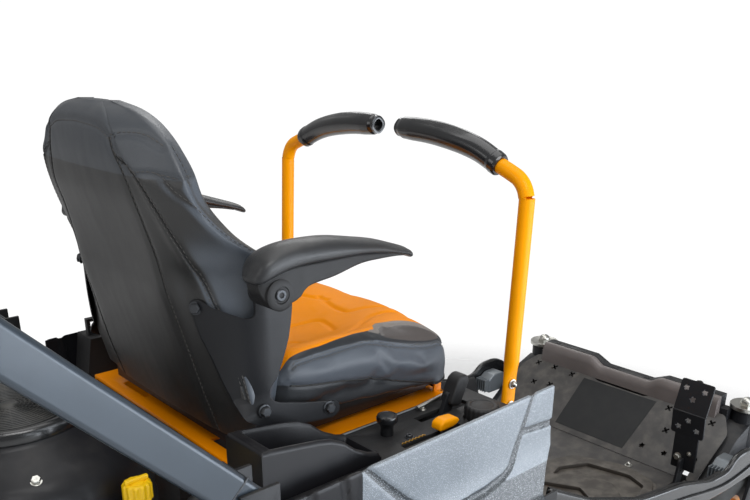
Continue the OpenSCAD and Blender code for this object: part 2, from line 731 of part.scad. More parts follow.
module spindle_housings() color("#8b8f93") {
    for (p = spindles) translate([p[0], p[1], 0]) difference() {
        union() {
            translate([0, 0, deck_top - 40]) cylinder(r = housing_r, h = 42);
            translate([0, 0, deck_top]) cylinder(r = 56, h = flange_t);
        }
        translate([0, 0, deck_top - 41]) cylinder(d = shaft_d + 2 * run, h = 60);
    }
}
module blade_set(p, turn) translate([p[0], p[1], 0]) {
    rod_z(0, 0, shaft_d, blade_z - 1, shaft_top);
    rod_z(0, 0, 36, blade_z - 10, blade_z);
    rod_z(0, 0, 50, blade_z + blade_t, blade_z + blade_t + 8);
    rod_z(0, 0, 2 * pulley_r, pulley_low, pulley_low + flange_w);
    rod_z(0, 0, 2 * groove_r, pulley_low, pulley_low + pulley_t);
    rod_z(0, 0, 2 * pulley_r, pulley_low + pulley_t - flange_w, pulley_low + pulley_t);
    rotate([0, 0, turn]) intersection() {
        translate([-blade_len / 2, -blade_w / 2, blade_z]) cube([blade_len, blade_w, blade_t]);
        rod_z(0, 0, blade_len, blade_z - 1, blade_z + blade_t + 1);
    }
}
module left_blade() color("#6f7275") blade_set(spindles[0], 20);
module centre_blade() color("#6f7275") blade_set(spindles[1], 75);
module right_blade() color("#6f7275") blade_set(spindles[2], -20);
cover_r = 84;
cover_post_turns = [65, 110, 200, 300];
module belt_covers() color("#202124") {
    both_sides() translate([outer_spindle_x, spindle_pitch, 0]) {
        rod_z(0, 0, 2 * cover_r, shaft_top + 2, shaft_top + 5);
        for (turn = cover_post_turns) rotate([0, 0, turn])
            rod_z(cover_r - 4, 0, 12, deck_top, shaft_top + 7);
    }
}
belt_t = 8;
module belt_ring(extra) {
    hull() {
        for (p = spindles) translate(p) circle(r = groove_r + extra, $fn = hull_fn);
        translate([crank_x, 0]) circle(r = clutch_r + extra, $fn = hull_fn);
    }
}
module deck_belt() color("#151515") translate([0, 0, pulley_low + flange_w + gap]) difference() {
    linear_extrude(pulley_t - 2 * flange_w - 2 * gap) belt_ring(gap + belt_t);
    translate([0, 0, -1]) linear_extrude(pulley_t) belt_ring(gap);
}
module discharge_chute() color("#18191b")
    translate([0, hinge_y, deck_top + 11]) rotate([chute_slope, 0, 0]) difference() {
        union() {
            rod_x(0, 0, 20, chute_x0, chute_x1);
            block([chute_x0, -chute_len, -6], [chute_x1, 0, 0]);
            for (x = [chute_x0, chute_x1 - 4]) block([x, -chute_len, -45], [x + 4, -40, 0]);
        }
        rod_x(0, 0, chute_pin_d + 2 * run, chute_x0 - 1, chute_x1 + 1);
    }
module roller() difference() {
    rod_y(roller_x, roller_z, roller_d, roller_y - roller_w / 2, roller_y + roller_w / 2);
    rod_y(roller_x, roller_z, roller_axle_d + 2 * run, roller_y - roller_w, roller_y + roller_w);
}
module left_roller() color("#2a2a2a") on_side(LEFT) roller();
module right_roller() color("#2a2a2a") on_side(RIGHT) roller();

// ---------- Steering levers ----------
base_len = 34;
module lever_base() {
    y0 = tower_in + tower_t + gap;
    difference() {
        union() {
            rod_y(lever_x, lever_pivot_z, 30, y0, y0 + base_len);
            block([lever_x - 24, lever_y - 12, lever_pivot_z], [lever_x + 24, lever_y - 4, lever_pivot_z + 30]);
            block([lever_x - 24, lever_y - 12, lever_pivot_z + 20], [lever_x + 24, lever_y + 12, lever_pivot_z + 28]);
            for (x = [lever_x - 24, lever_x + 16])
                block([x, lever_y - 12, lever_pivot_z + 24], [x + 8, lever_y + 12, park_pivot_z + 14]);
        }
        rod_y(lever_x, lever_pivot_z, lever_pin_d + 2 * run, y0 - 1, lever_y + 20);
    }
    rod_x(lever_y, park_pivot_z, park_pin_d, lever_x - 28, lever_x + 28);
}
tube_points = [
    [lever_x + 2, lever_y, 668], [lever_x + 18, lever_y - 1, 996], [lever_x + 19, lever_y - 6, 1014],
    [lever_x + 19, lever_y - 18, 1027], [lever_x + 19, lever_y - 55, 1042.5],
];
grip_points = [
    [lever_x + 19, lever_y - 55.3, 1042.6], [lever_x + 19, lever_y - 101, 1062], [lever_x + 17, 150, 1074],
    [lever_x + 16, 95, 1081], [lever_x + 15, 27, 1083],
];
module lever_tube() {
    difference() {
        block([lever_x - 15.6, lever_y - 8, park_pivot_z - 14], [lever_x + 15.6, lever_y + 8, park_pivot_z + 40]);
        rod_x(lever_y, park_pivot_z, park_pin_d + 2 * run, lever_x - 20, lever_x + 20);
    }
    bent_bar(tube_points, lever_d);
}
module left_lever_base() color("#2b2b2d") on_side(LEFT) lever_base();
module right_lever_base() color("#2b2b2d") on_side(RIGHT) lever_base();
module left_lever_tube() color("#f5a000") on_side(LEFT) lever_tube();
module right_lever_tube() color("#f5a000") on_side(RIGHT) lever_tube();
module left_lever_grip() color("#141414") on_side(LEFT) bent_bar(grip_points, grip_d);
module right_lever_grip() color("#141414") on_side(RIGHT) bent_bar(grip_points, grip_d);

// ---------- Seat ----------
module seat_base() color("#2a2b2d") {
    slab_xz([[-446, 692], [-95, 690], [-95, 704], [-408, 733.6], [-408, 711.6], [-446, 711.6]], -190, 190);
    both_sides() difference() {
        union() {
            block([-98, 152, 692], [hinge_x, 188, 699]);
            rod_y(hinge_x, hinge_z, 18, 151, 189);
        }
        rod_y(hinge_x, hinge_z, 10 + 2 * run, 150, 191);
    }
    for (y = [-150, 150]) rod_z(-380, y, 32, platform_top + gap, 696);
}
module seat_cushion() color("#e8901a") slab_xz([
    [-411, 734.4], [-98, 704.6], [-88, 728], [-92, 776], [-122, 800], [-300, 806], [-411, 806],
], -seat_half_w, seat_half_w);
back_side = [
    [-412, 712], [-457, 712], [-476, 780], [-493, 850], [-508, 910], [-526, 1000], [-536, 1040],
    [-545, 1105], [-540, seat_top_z - 18], [-522, seat_top_z], [-500, seat_top_z],
    [-482, seat_top_z - 18], [-466, 1075], [-453, 1000], [-440, 910], [-428, 850], [-415, 780],
];
bolster_side = [[-430, 809], [-424, 960], [-396, 940], [-384, 880], [-388, 820], [-396, 809]];
back_front = [
    [218, 712], [230, 745], [232, 800], [232, 980], [222, 1007], [205, 1040], [190, 1075],
    [172, 1105], [140, seat_top_z - 18], [90, seat_top_z + 1],
];
module seat_back() color("#2b2a2a") {
    intersection() {
        slab_xz(back_side, -seat_y, seat_y);
        slab_yz(concat(back_front, [for (i = [len(back_front) - 1 : -1 : 0]) [-back_front[i][0], back_front[i][1]]]),
            -560, -400);
    }
    both_sides() slab_xz(bolster_side, 176, seat_y - 3);
}
bracket_outline = [
    [-310, 728], [-444, 730], [-478, 820], [-490, 880], [-486, 915], [-470, 925],
    [-440, 948], [-412, 948], [-404, 920], [-420, 840], [-420, 780], [-300, 765], [-300, 735],
];
module seat_brackets() color("#141414") both_sides() {
    slab_xz(bracket_outline, bracket_in, bracket_out);
    rod_y(-331, 745, 14, seat_half_w + gap, bracket_out + 5);
    rod_y(-438, 765, 14, seat_half_w + 1 + gap, bracket_out + 5);
    rod_y(-470, 900, 14, seat_y - 3 + gap, bracket_out);
    rod_y(armrest_x, armrest_z, armrest_pin_d, bracket_in, bracket_out + 40);
}
armrest_plan = [
    [-482, bracket_out + 1], [-385, bracket_out + 1], [-300, 224], [-182, 196], [-167, 204],
    [-164, 225], [-182, 244], [-300, 276], [-400, bracket_out + 52], [-482, bracket_out + 52],
];
armrest_side = [
    [-484, 925], [-472, 902], [-440, 894], [-400, 903], [-330, 922], [-164, 930], [-163, 944],
    [-300, 962], [-440, 970], [-480, 956],
];
module armrest() difference() {
    intersection() {
        slab_xy(armrest_plan, 880, 980);
        slab_xz(armrest_side, 150, 320);
    }
    rod_y(armrest_x, armrest_z, armrest_pin_d + 2 * run, 200, 320);
}
module left_armrest() color("#222222") on_side(LEFT) armrest();
module right_armrest() color("#222222") on_side(RIGHT) armrest();

// ---------- Controls ----------
module throttle_lever() color("#f5a000") on_side(RIGHT) difference() {
    union() {
        slab_xz([[-231, 640], [-219, 640], [-190, 706], [-202, 706]], throttle_y - 1.5, throttle_y + 1.5);
        rod_y(throttle_pivot[0], throttle_pivot[1], 14, throttle_y - 1.5, throttle_y + 1.5);
        slab_xz([[-214, 706], [-184, 706], [-174, 718], [-182, 726], [-212, 724]], throttle_y - 9, throttle_y + 9);
    }
    rod_y(throttle_pivot[0], throttle_pivot[1], throttle_pin_d + 2 * run, throttle_y - 5, throttle_y + 5);
}
module round_knob() color("#141414") on_side(RIGHT) {
    rod_z(knob_at[0], knob_at[1], knob_stem_d, 684, 722);
    rod_z(knob_at[0], knob_at[1], 27, 719, 736);
}
module brake_lever() color("#141414") on_side(RIGHT) difference() {
    union() {
        slab_xz([[-173, 650], [-157, 650], [-128, 722], [-144, 722]], brake_y - 4, brake_y + 4);
        rod_y(brake_pivot[0], brake_pivot[1], 20, brake_y - 4, brake_y + 4);
        slab_xz([[-150, 716], [-128, 708], [-106, 758], [-118, 766], [-134, 758]], brake_y - 15, brake_y + 15);
    }
    rod_y(brake_pivot[0], brake_pivot[1], brake_pin_d + 2 * run, brake_y - 5, brake_y + 5);
}
module fuel_cap() color("#202020") on_side(RIGHT) difference() {
    rod_z(cap_at[0], cap_at[1], 2 * cap_r, console_top + 1, console_top + 24);
    rod_z(cap_at[0], cap_at[1], 2 * (neck_r + run), console_top, console_top + 11 + gap);
}
module ignition_key() color("#141414") on_side(LEFT) {
    rod_z(key_at[0], key_at[1], key_shaft_d, console_top - 16, console_top + 9);
    block([key_at[0] - 12, key_at[1] - 2.5, console_top + 7], [key_at[0] + 12, key_at[1] + 2.5, console_top + 30]);
}
pedal_pivot = [640, 240];
pedal_pin_d = 12;
pedal_x = 664;
module deck_pedal() color("#303033") {
    difference() {
        union() {
            slab_xz([[628, 228], [652, 228], [pedal_x + 6, 292], [pedal_x + 6, 330], [pedal_x - 16, 330], [632, 250]],
                pedal_y - pedal_t / 2, pedal_y + pedal_t / 2);
            rod_y(pedal_pivot[0], pedal_pivot[1], 28, pedal_y - pedal_t / 2, pedal_y + pedal_t / 2);
        }
        rod_y(pedal_pivot[0], pedal_pivot[1], pedal_pin_d + 2 * run, -300, -200);
    }
    block([pedal_x, pedal_y - 26, 308], [pedal_x + 6, pedal_y + 26, 392]);
    slab_xz([[pedal_x, 380], [pedal_x + 6, 380], [pedal_x + 2, 436], [pedal_x - 4, 436]], pedal_y - 39, pedal_y + 39);
    slab_xz([[pedal_x - 4, 432], [pedal_x + 2, 432], [pedal_x + 26, 510], [pedal_x + 20, 512]],
        pedal_y - 39, pedal_y + 39);
}

main_frame();
rear_guard();
floor_pan();
toe_board();
side_guards();
headlights();
left_fender();
right_fender();
left_console();
right_console();
storage_box();
seat_platform();
fuel_tank();
battery();
transaxles();
engine_block();
engine_shroud();
fan_screen();
engine_fan();
muffler();
air_cleaner();
oil_cap();
clutch_pulley();
roll_bar();
deck_shell();
spindle_housings();
belt_covers();
deck_belt();
left_blade();
centre_blade();
right_blade();
discharge_chute();
left_roller();
right_roller();
left_lever_base();
left_lever_tube();
left_lever_grip();
right_lever_base();
right_lever_tube();
right_lever_grip();
seat_base();
seat_cushion();
seat_back();
seat_brackets();
left_armrest();
right_armrest();
left_rear_tyre();
left_rear_rim();
right_rear_tyre();
right_rear_rim();
left_caster_fork();
right_caster_fork();
left_caster_wheel();
right_caster_wheel();
throttle_lever();
round_knob();
brake_lever();
fuel_cap();
ignition_key();
deck_pedal();
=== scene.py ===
# %% [markdown]
# # Zero turn mower
# The packed CAD part is the fixed frame. This script gives its carried-over nodes their finish and builds
# the shaped pieces: seat, armrests, levers, covers, tyres, deck pedal and small hardware. Lengths in the
# shape calls are millimetres in the CAD frame: X forward, Y left, Z up.

import math

import bmesh
import bpy
import numpy as np
from mathutils import Matrix, Vector
from mathutils.bvhtree import BVHTree


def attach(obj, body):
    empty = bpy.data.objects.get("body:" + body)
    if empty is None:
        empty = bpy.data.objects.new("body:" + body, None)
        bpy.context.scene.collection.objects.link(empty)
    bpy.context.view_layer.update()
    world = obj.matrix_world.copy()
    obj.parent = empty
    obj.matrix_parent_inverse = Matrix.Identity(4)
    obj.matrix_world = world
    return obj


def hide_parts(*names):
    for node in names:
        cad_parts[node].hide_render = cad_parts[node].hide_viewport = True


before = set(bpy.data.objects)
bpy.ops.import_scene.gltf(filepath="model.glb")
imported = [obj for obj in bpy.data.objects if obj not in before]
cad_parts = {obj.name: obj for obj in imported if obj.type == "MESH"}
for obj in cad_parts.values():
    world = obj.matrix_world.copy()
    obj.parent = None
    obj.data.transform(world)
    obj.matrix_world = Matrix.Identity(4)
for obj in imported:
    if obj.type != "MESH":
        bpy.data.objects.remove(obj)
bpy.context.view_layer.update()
MM = 0.001
print("CAD nodes:", len(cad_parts))

# %% [markdown]
# ## Shapes as arrays
# Most covers on the machine are thin moulded or pressed shapes with soft sections. They could be modelled
# by hand under a Subdivision Surface modifier, but a section measured at a few places says more about the
# real part. So a smooth curve runs through a few points, and a skin of quads joins the sections. Every
# shape function returns (points, faces), and the points are an (n, 3) array in millimetres.

# %% Curves and grids
def curve(points, count):
    """Catmull-Rom curve through the points, resampled to equal steps of its length."""
    p = np.asarray(points, float)
    q = np.vstack([2 * p[0] - p[1], p, 2 * p[-1] - p[-2]])
    t = np.linspace(0, len(p) - 1, 24 * len(p))
    i = np.minimum(t.astype(int), len(p) - 2)
    u = (t - i)[:, None]
    a, b, c, d = q[i], q[i + 1], q[i + 2], q[i + 3]
    fine = 0.5 * (2 * b + (c - a) * u + (2 * a - 5 * b + 4 * c - d) * u**2 + (3 * b - a - 3 * c + d) * u**3)
    s = np.r_[0, np.cumsum(np.linalg.norm(np.diff(fine, axis=0), axis=1))]
    want = np.linspace(0, s[-1], count)
    return np.column_stack([np.interp(want, s, fine[:, k]) for k in range(p.shape[1])])


def smooth01(v):
    """0 up to 0, 1 from 1 on, and the cubic 3 v^2 - 2 v^3 between."""
    v = np.clip(v, 0, 1)
    return v * v * (3 - 2 * v)


def loop(points, count):
    """Closed Catmull-Rom curve through the points, count points round it."""
    p = np.asarray(points, float)
    n = len(p)
    t = np.linspace(0, n, count, endpoint=False)
    i = t.astype(int)
    u = (t - i)[:, None]
    a, b, c, d = p[(i - 1) % n], p[i % n], p[(i + 1) % n], p[(i + 2) % n]
    return 0.5 * (2 * b + (c - a) * u + (2 * a - 5 * b + 4 * c - d) * u**2 + (3 * b - a - 3 * c + d) * u**3)


print("a curve through 3 points:", curve([(0, 0), (1, 1), (2, 0)], 5).round(2).tolist())

# %% [markdown]
# ## Skins and mirror images
# A loft is a stack of rings with the same number of points. Joining each ring to the next with quads needs
# only index sums on whole arrays. Much of the machine is the same left and right, so one side is built and
# mirrored, with its faces turned round again so that they point outwards.

# %% Skins and mirror images
def grid(rings, wrap=False):
    """Skin over rings of equal count. rings is (rows, round, 3). wrap joins the last ring to the first, and
    otherwise a face closes each end."""
    rings = np.asarray(rings, float)
    rows, n = rings.shape[:2]
    r = np.arange(rows if wrap else rows - 1)[:, None]
    c = np.arange(n)[None, :]
    nxt, right = (r + 1) % rows, (c + 1) % n
    faces = np.stack([r * n + c, r * n + right, nxt * n + right, nxt * n + c], -1).reshape(-1, 4).tolist()
    if not wrap:
        faces.append(list(range(n))[::-1])
        faces.append([(rows - 1) * n + k for k in range(n)])
    return rings.reshape(-1, 3), faces


def joined(*shapes):
    """Several shapes as one list of points and faces."""
    points, faces, start = [], [], 0
    for p, f in shapes:
        points.append(p)
        faces += [[i + start for i in face] for face in f]
        start += len(p)
    return np.vstack(points), faces


def flipped(shape):
    """The same shape with its faces turned round."""
    return shape[0], [face[::-1] for face in shape[1]]


def mirrored(shape):
    """The same shape on the other side of the centre plane, facing outwards."""
    return flipped((shape[0] * [1, -1, 1], shape[1]))


def both(shape):
    """A shape and its mirror image on the machine's other side."""
    return joined(shape, mirrored(shape))


print("faces of a two-ring skin:", len(grid(np.zeros((2, 8, 3)))[1]))

# %% [markdown]
# ## Turned, bent and cut parts
# Caps, wheels and bolts are a profile carried round an axis, and bars are a ring carried along a path.
# Sheet metal is a flat outline with rounded edges. A filled 2D curve cuts it, because that copes with any
# outline and its holes, where Boolean cuts would leave slivers.

# %% Solids
def basis(axis):
    """Two unit vectors square to axis, and axis itself."""
    w = np.asarray(axis, float) / np.linalg.norm(axis)
    u = np.cross(w, [0, 0, 1] if abs(w[2]) < 0.9 else [1, 0, 0])
    u /= np.linalg.norm(u)
    return u, np.cross(w, u), w


def lathe(profile, at=(0, 0, 0), axis=(0, 0, 1), count=48, wrap=False, sides=None):
    """Turns (radius, height) pairs about axis through at. sides < count gives a hexagon or the like."""
    u, v, w = basis(axis)
    n = sides or count
    a = np.linspace(0, 2 * np.pi, n, endpoint=False)
    around = np.cos(a)[:, None] * u + np.sin(a)[:, None] * v
    rings = [np.asarray(at) + r * around + h * w for r, h in profile]
    return grid(rings, wrap=wrap)


def tube(points, radius, count=16, samples=None):
    """Round bar along a path. The cross-section is carried along without twist."""
    p = np.asarray(points, float) if samples is None else curve(points, samples)
    t = np.gradient(p, axis=0)
    t /= np.linalg.norm(t, axis=1)[:, None]
    u = basis(t[0])[0]
    r = np.broadcast_to(radius, (len(p),))
    a = np.linspace(0, 2 * np.pi, count, endpoint=False)
    rings = []
    for k in range(len(p)):
        u = u - t[k] * (u @ t[k])
        u /= np.linalg.norm(u)
        v = np.cross(t[k], u)
        rings.append(p[k] + r[k] * (np.cos(a)[:, None] * u + np.sin(a)[:, None] * v))
    return grid(rings)


print("points of a turned disc:", len(lathe([(0, 0), (1, 0)])[0]))

# %% [markdown]
# ## Rounded boxes
# Lugs, straps, arms and housings are boxes with rounded edges. A bevel modifier would do it on each object,
# but several boxes often go into one piece, so the rounding is in the shape: its points stand r off the
# surface of a box that is r smaller all round.

# %% Rounded boxes
def rounded(low, high, r, n=3):
    """Box with rounded edges: a cube's surface pushed out by r from the box that is r smaller all round."""
    low, high = np.asarray(low, float), np.asarray(high, float)
    r = min(r, 0.499 * (high - low).min())
    half, mid = (high - low) / 2 - r, (high + low) / 2
    a = np.r_[-1 - np.linspace(1, 0, n + 1)[:-1], -1, 1, 1 + np.linspace(0, 1, n + 1)[1:]]
    step = np.tan(np.pi / 4 * np.clip(np.abs(a) - 1, 0, 1)) * np.sign(a)
    m = len(a)
    points, faces = [], []
    for k in range(3):
        for s in (-1, 1):
            i, j = (k + 1) % 3, (k + 2) % 3
            gi, gj = np.meshgrid(np.arange(m), np.arange(m), indexing="ij")
            d = np.zeros((m, m, 3))
            d[..., i], d[..., j], d[..., k] = step[gi], step[gj], s
            core = np.zeros((m, m, 3))
            core[..., i] = np.sign(a[gi]) * half[i]
            core[..., j] = np.sign(a[gj]) * half[j]
            core[..., k] = s * half[k]
            d /= np.linalg.norm(d, axis=-1)[..., None]
            start = len(points) * m * m
            points.append((mid + core + r * d).reshape(-1, 3))
            q = (np.arange(m - 1)[:, None] * m + np.arange(m - 1)[None, :]).reshape(-1) + start
            f = np.stack([q, q + m, q + m + 1, q + 1], -1)
            faces += (f if s > 0 else f[:, ::-1]).tolist()
    return np.vstack(points), faces


print("points of a rounded box:", len(rounded((0, 0, 0), (10, 10, 10), 2)[0]))

# %% [markdown]
# ## Cut sheet
# A plate is given by its outline, its holes and its thickness, and by two directions that say how it
# stands. Corners of an outline are softened by a curve that starts and ends a little away from the corner.

# %% Cut sheet
def plate(outline, thick, holes=(), bevel=0.8, at=(0, 0, 0), x=(1, 0, 0), y=(0, 1, 0)):
    """Sheet cut to outline with holes, its edges rounded. It is drawn in the plane of x and y from at, and
    thickens towards x cross y."""
    data = bpy.data.curves.new("cut", "CURVE")
    data.dimensions, data.fill_mode = "2D", "BOTH"
    data.extrude, data.bevel_depth = thick / 2 - bevel, bevel
    data.bevel_resolution, data.offset = 1, -bevel
    for ring in [outline, *holes]:
        line = data.splines.new("POLY")
        line.points.add(len(ring) - 1)
        line.points.foreach_set("co", np.column_stack([ring, np.zeros(len(ring)),
                                                       np.ones(len(ring))]).ravel())
        line.use_cyclic_u = True
    holder = bpy.data.objects.new("cut", data)
    shape = bmesh.new()
    shape.from_mesh(holder.to_mesh())
    bmesh.ops.remove_doubles(shape, verts=shape.verts, dist=1e-3)
    bmesh.ops.recalc_face_normals(shape, faces=shape.faces)
    p = np.array([v.co[:] for v in shape.verts])
    shape.verts.index_update()
    faces = [[v.index for v in f.verts] for f in shape.faces]
    shape.free()
    holder.to_mesh_clear()
    bpy.data.objects.remove(holder)
    bpy.data.curves.remove(data)
    x, y = np.asarray(x, float), np.asarray(y, float)
    z = np.cross(x, y)
    return np.asarray(at) + p[:, :1] * x + p[:, 1:2] * y + (p[:, 2:] + thick / 2) * z, faces


def wall_xz(outline, y0, y1, holes=(), bevel=0.8):
    """Plate drawn in X and Z that fills y0 to y1."""
    return plate(outline, y1 - y0, holes, bevel, at=(0, y1, 0), x=(1, 0, 0), y=(0, 0, 1))


def circle(x, y, r, n=24):
    """n points of x + r cos(a), y + r sin(a)."""
    a = np.linspace(0, 2 * np.pi, n, endpoint=False)
    return np.column_stack([x + r * np.cos(a), y + r * np.sin(a)])


def softened(points, r, n=5):
    """Polygon with each corner replaced by a curve that starts r before it and ends r after it."""
    p = np.asarray(points, float)
    out = []
    for k in range(len(p)):
        a, b, c = p[k - 1], p[k], p[(k + 1) % len(p)]
        ra = min(r, 0.45 * np.linalg.norm(a - b))
        rc = min(r, 0.45 * np.linalg.norm(c - b))
        s, e = b + (a - b) / np.linalg.norm(a - b) * ra, b + (c - b) / np.linalg.norm(c - b) * rc
        for t in np.linspace(0, 1, n):
            out.append((1 - t) ** 2 * s + 2 * t * (1 - t) * b + t**2 * e)
    return np.array(out)


print("points of a softened square:", len(softened([(0, 0), (10, 0), (10, 10), (0, 10)], 2)))

# %% [markdown]
# ## From a shape to an object
# An object gets its points in metres, one finish, and the body that it moves with. Its place is in its
# mesh, so that the object itself stays at the origin. Weighted normals keep the flats of small pieces flat
# beside their rounded edges.

# %% Objects
def build(name, shape, finish, body, crease=38, replaces=()):
    """Makes a mesh object of a shape, smooth but for edges sharper than crease degrees, riding on body."""
    points, faces = shape
    mesh = bpy.data.meshes.new(name)
    mesh.from_pydata((np.asarray(points) * MM).tolist(), [], faces)
    mesh.validate()
    mesh.shade_smooth()
    mesh.set_sharp_from_angle(angle=math.radians(crease))
    mesh.materials.append(finish)
    piece = bpy.data.objects.new(name, mesh)
    bpy.context.scene.collection.objects.link(piece)
    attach(piece, body)
    if len(faces) < 6000:
        piece.modifiers.new("even", "WEIGHTED_NORMAL").keep_sharp = True
    if replaces:
        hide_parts(*replaces)
    return piece


print("objects ready")

# %% [markdown]
# ## Bolts
# Every bolt head is a washer with a head of one of three kinds on it, all in proportion to the head's size.
# Only what shows is made, so there is no thread.

# %% Bolts
def bolt(at, axis, d, kind="hex"):
    """Bolt head standing on at: a washer with a hex head, a dome nut or a socket head on it."""
    at, w = np.asarray(at, float), np.asarray(axis, float) / np.linalg.norm(axis)
    washer = lathe([(0, 0), (d * 0.62, 0), (d * 0.62, d * 0.07), (d * 0.58, d * 0.1), (0, d * 0.1)], at, w,
                   24)
    if kind == "hex":
        head = lathe([(0, 0), (d * 0.5, 0), (d * 0.5, d * 0.3), (d * 0.42, d * 0.38), (0, d * 0.38)],
                     at + w * d * 0.1, w, sides=6)
    elif kind == "dome":
        a = np.linspace(0, np.pi / 2, 6)[:-1]
        head = joined(
            lathe([(0, 0), (d * 0.46, 0), (d * 0.46, d * 0.24), (0, d * 0.24)], at + w * d * 0.1, w, sides=6),
            lathe([(0.36 * d * math.cos(t), 0.3 * d * math.sin(t)) for t in a] + [(0, 0.3 * d)],
                  at + w * d * 0.34, w, 20),
        )
    else:
        head = lathe([(0, 0), (d * 0.44, 0), (d * 0.44, d * 0.22), (d * 0.38, d * 0.28), (d * 0.22, d * 0.28),
                      (d * 0.2, d * 0.1), (0, d * 0.1)], at + w * d * 0.1, w, 24)
    return joined(washer, head)


print("points of a bolt:", len(bolt((0, 0, 0), (0, 0, 1), 10)[0]))

# %% [markdown]
# ## Finishes
# A finish is a graph of shader nodes. Wired by hand it is hard to read, so Socket wraps a node's output and
# turns arithmetic into Math nodes, which lets a pattern read as a formula.

# %% Shader arithmetic
class Socket:
    """A shader value. Arithmetic on it adds Math nodes, and node() adds any other node. There, settings are
    set first, and inputs are named as on the node or numbered i0, i1 and so on."""

    def __init__(self, tree, socket):
        self.tree, self.socket = tree, socket

    def node(self, kind, out=0, settings=None, **inputs):
        made = self.tree.nodes.new(kind)
        for key, value in (settings or {}).items():
            setattr(made, key, value)
        for key, value in inputs.items():
            numbered = key[0] == "i" and key[1:].isdigit()
            target = made.inputs[int(key[1:]) if numbered else key.replace("_", " ")]
            if isinstance(value, Socket):
                self.tree.links.new(value.socket, target)
            else:
                target.default_value = value
        return Socket(self.tree, made.outputs[out])

    def math(self, op, other=0.0, swap=False):
        """A Math node on this and another value, which swap puts first."""
        a, b = (other, self) if swap else (self, other)
        return self.node("ShaderNodeMath", settings={"operation": op}, i0=a, i1=b)

    def __add__(self, other):
        return self.math("ADD", other)

    def __sub__(self, other):
        return self.math("SUBTRACT", other)

    def __mul__(self, other):
        return self.math("MULTIPLY", other)

    def __rsub__(self, other):
        return self.math("SUBTRACT", other, swap=True)

    __radd__, __rmul__ = __add__, __mul__

    def ramp(self, low, high):
        """0 below low, 1 above high, smooth between."""
        return self.node("ShaderNodeMapRange", settings={"interpolation_type": "SMOOTHSTEP"},
                         Value=self, From_Min=low, From_Max=high)

    def noise(self, scale, detail=3.0, rough=0.55, stretch=(1, 1, 1)):
        """Fractal noise, about 0 to 1, of this position."""
        where = self if tuple(stretch) == (1, 1, 1) else self.node("ShaderNodeMapping", Vector=self,
                                                                   Scale=stretch)
        return where.node("ShaderNodeTexNoise", Vector=where, Scale=scale, Detail=detail, Roughness=rough)

    def cells(self, scale, feature="F1"):
        """Cellular distances of this position, for flecks and pebbles."""
        return self.node("ShaderNodeTexVoronoi", settings={"feature": feature}, Vector=self, Scale=scale)

    def mix(self, a, b):
        """Colour a where this is 0 and b where it is 1."""
        made = self.tree.nodes.new("ShaderNodeMix")
        made.data_type = "RGBA"
        self.tree.links.new(self.socket, made.inputs[0])
        for target, value in ((made.inputs[6], a), (made.inputs[7], b)):
            if isinstance(value, Socket):
                self.tree.links.new(value.socket, target)
            else:
                target.default_value = (*value, 1)
        return Socket(self.tree, made.outputs[2])

    def relief(self, depth, below=None):
        """Bumps of this height. depth is in metres."""
        extra = {"Normal": below} if below else {}
        return self.node("ShaderNodeBump", Height=self, Strength=1.0, Distance=depth, **extra)


print("operators:", sorted(name for name in vars(Socket) if name.startswith("__r")))

# %% [markdown]
# ## One recipe
# All finishes share a pattern: the colour drifts slowly, dust lies on what faces up, the roughness is
# blotched and the surface has fine grain and broad waves. What is the same all over goes straight into the
# shader's own sockets.

# %% One recipe
def hexed(code):
    """Linear colour of an sRGB code such as 2b2a2a."""
    c = [int(code[i:i + 2], 16) / 255 for i in (0, 2, 4)]
    return tuple(x / 12.92 if x <= 0.04045 else ((x + 0.055) / 1.055) ** 2.4 for x in c)


BORDER = 0.7  # half the width in mm over which two colours meet
DUST = "b9b2a4"


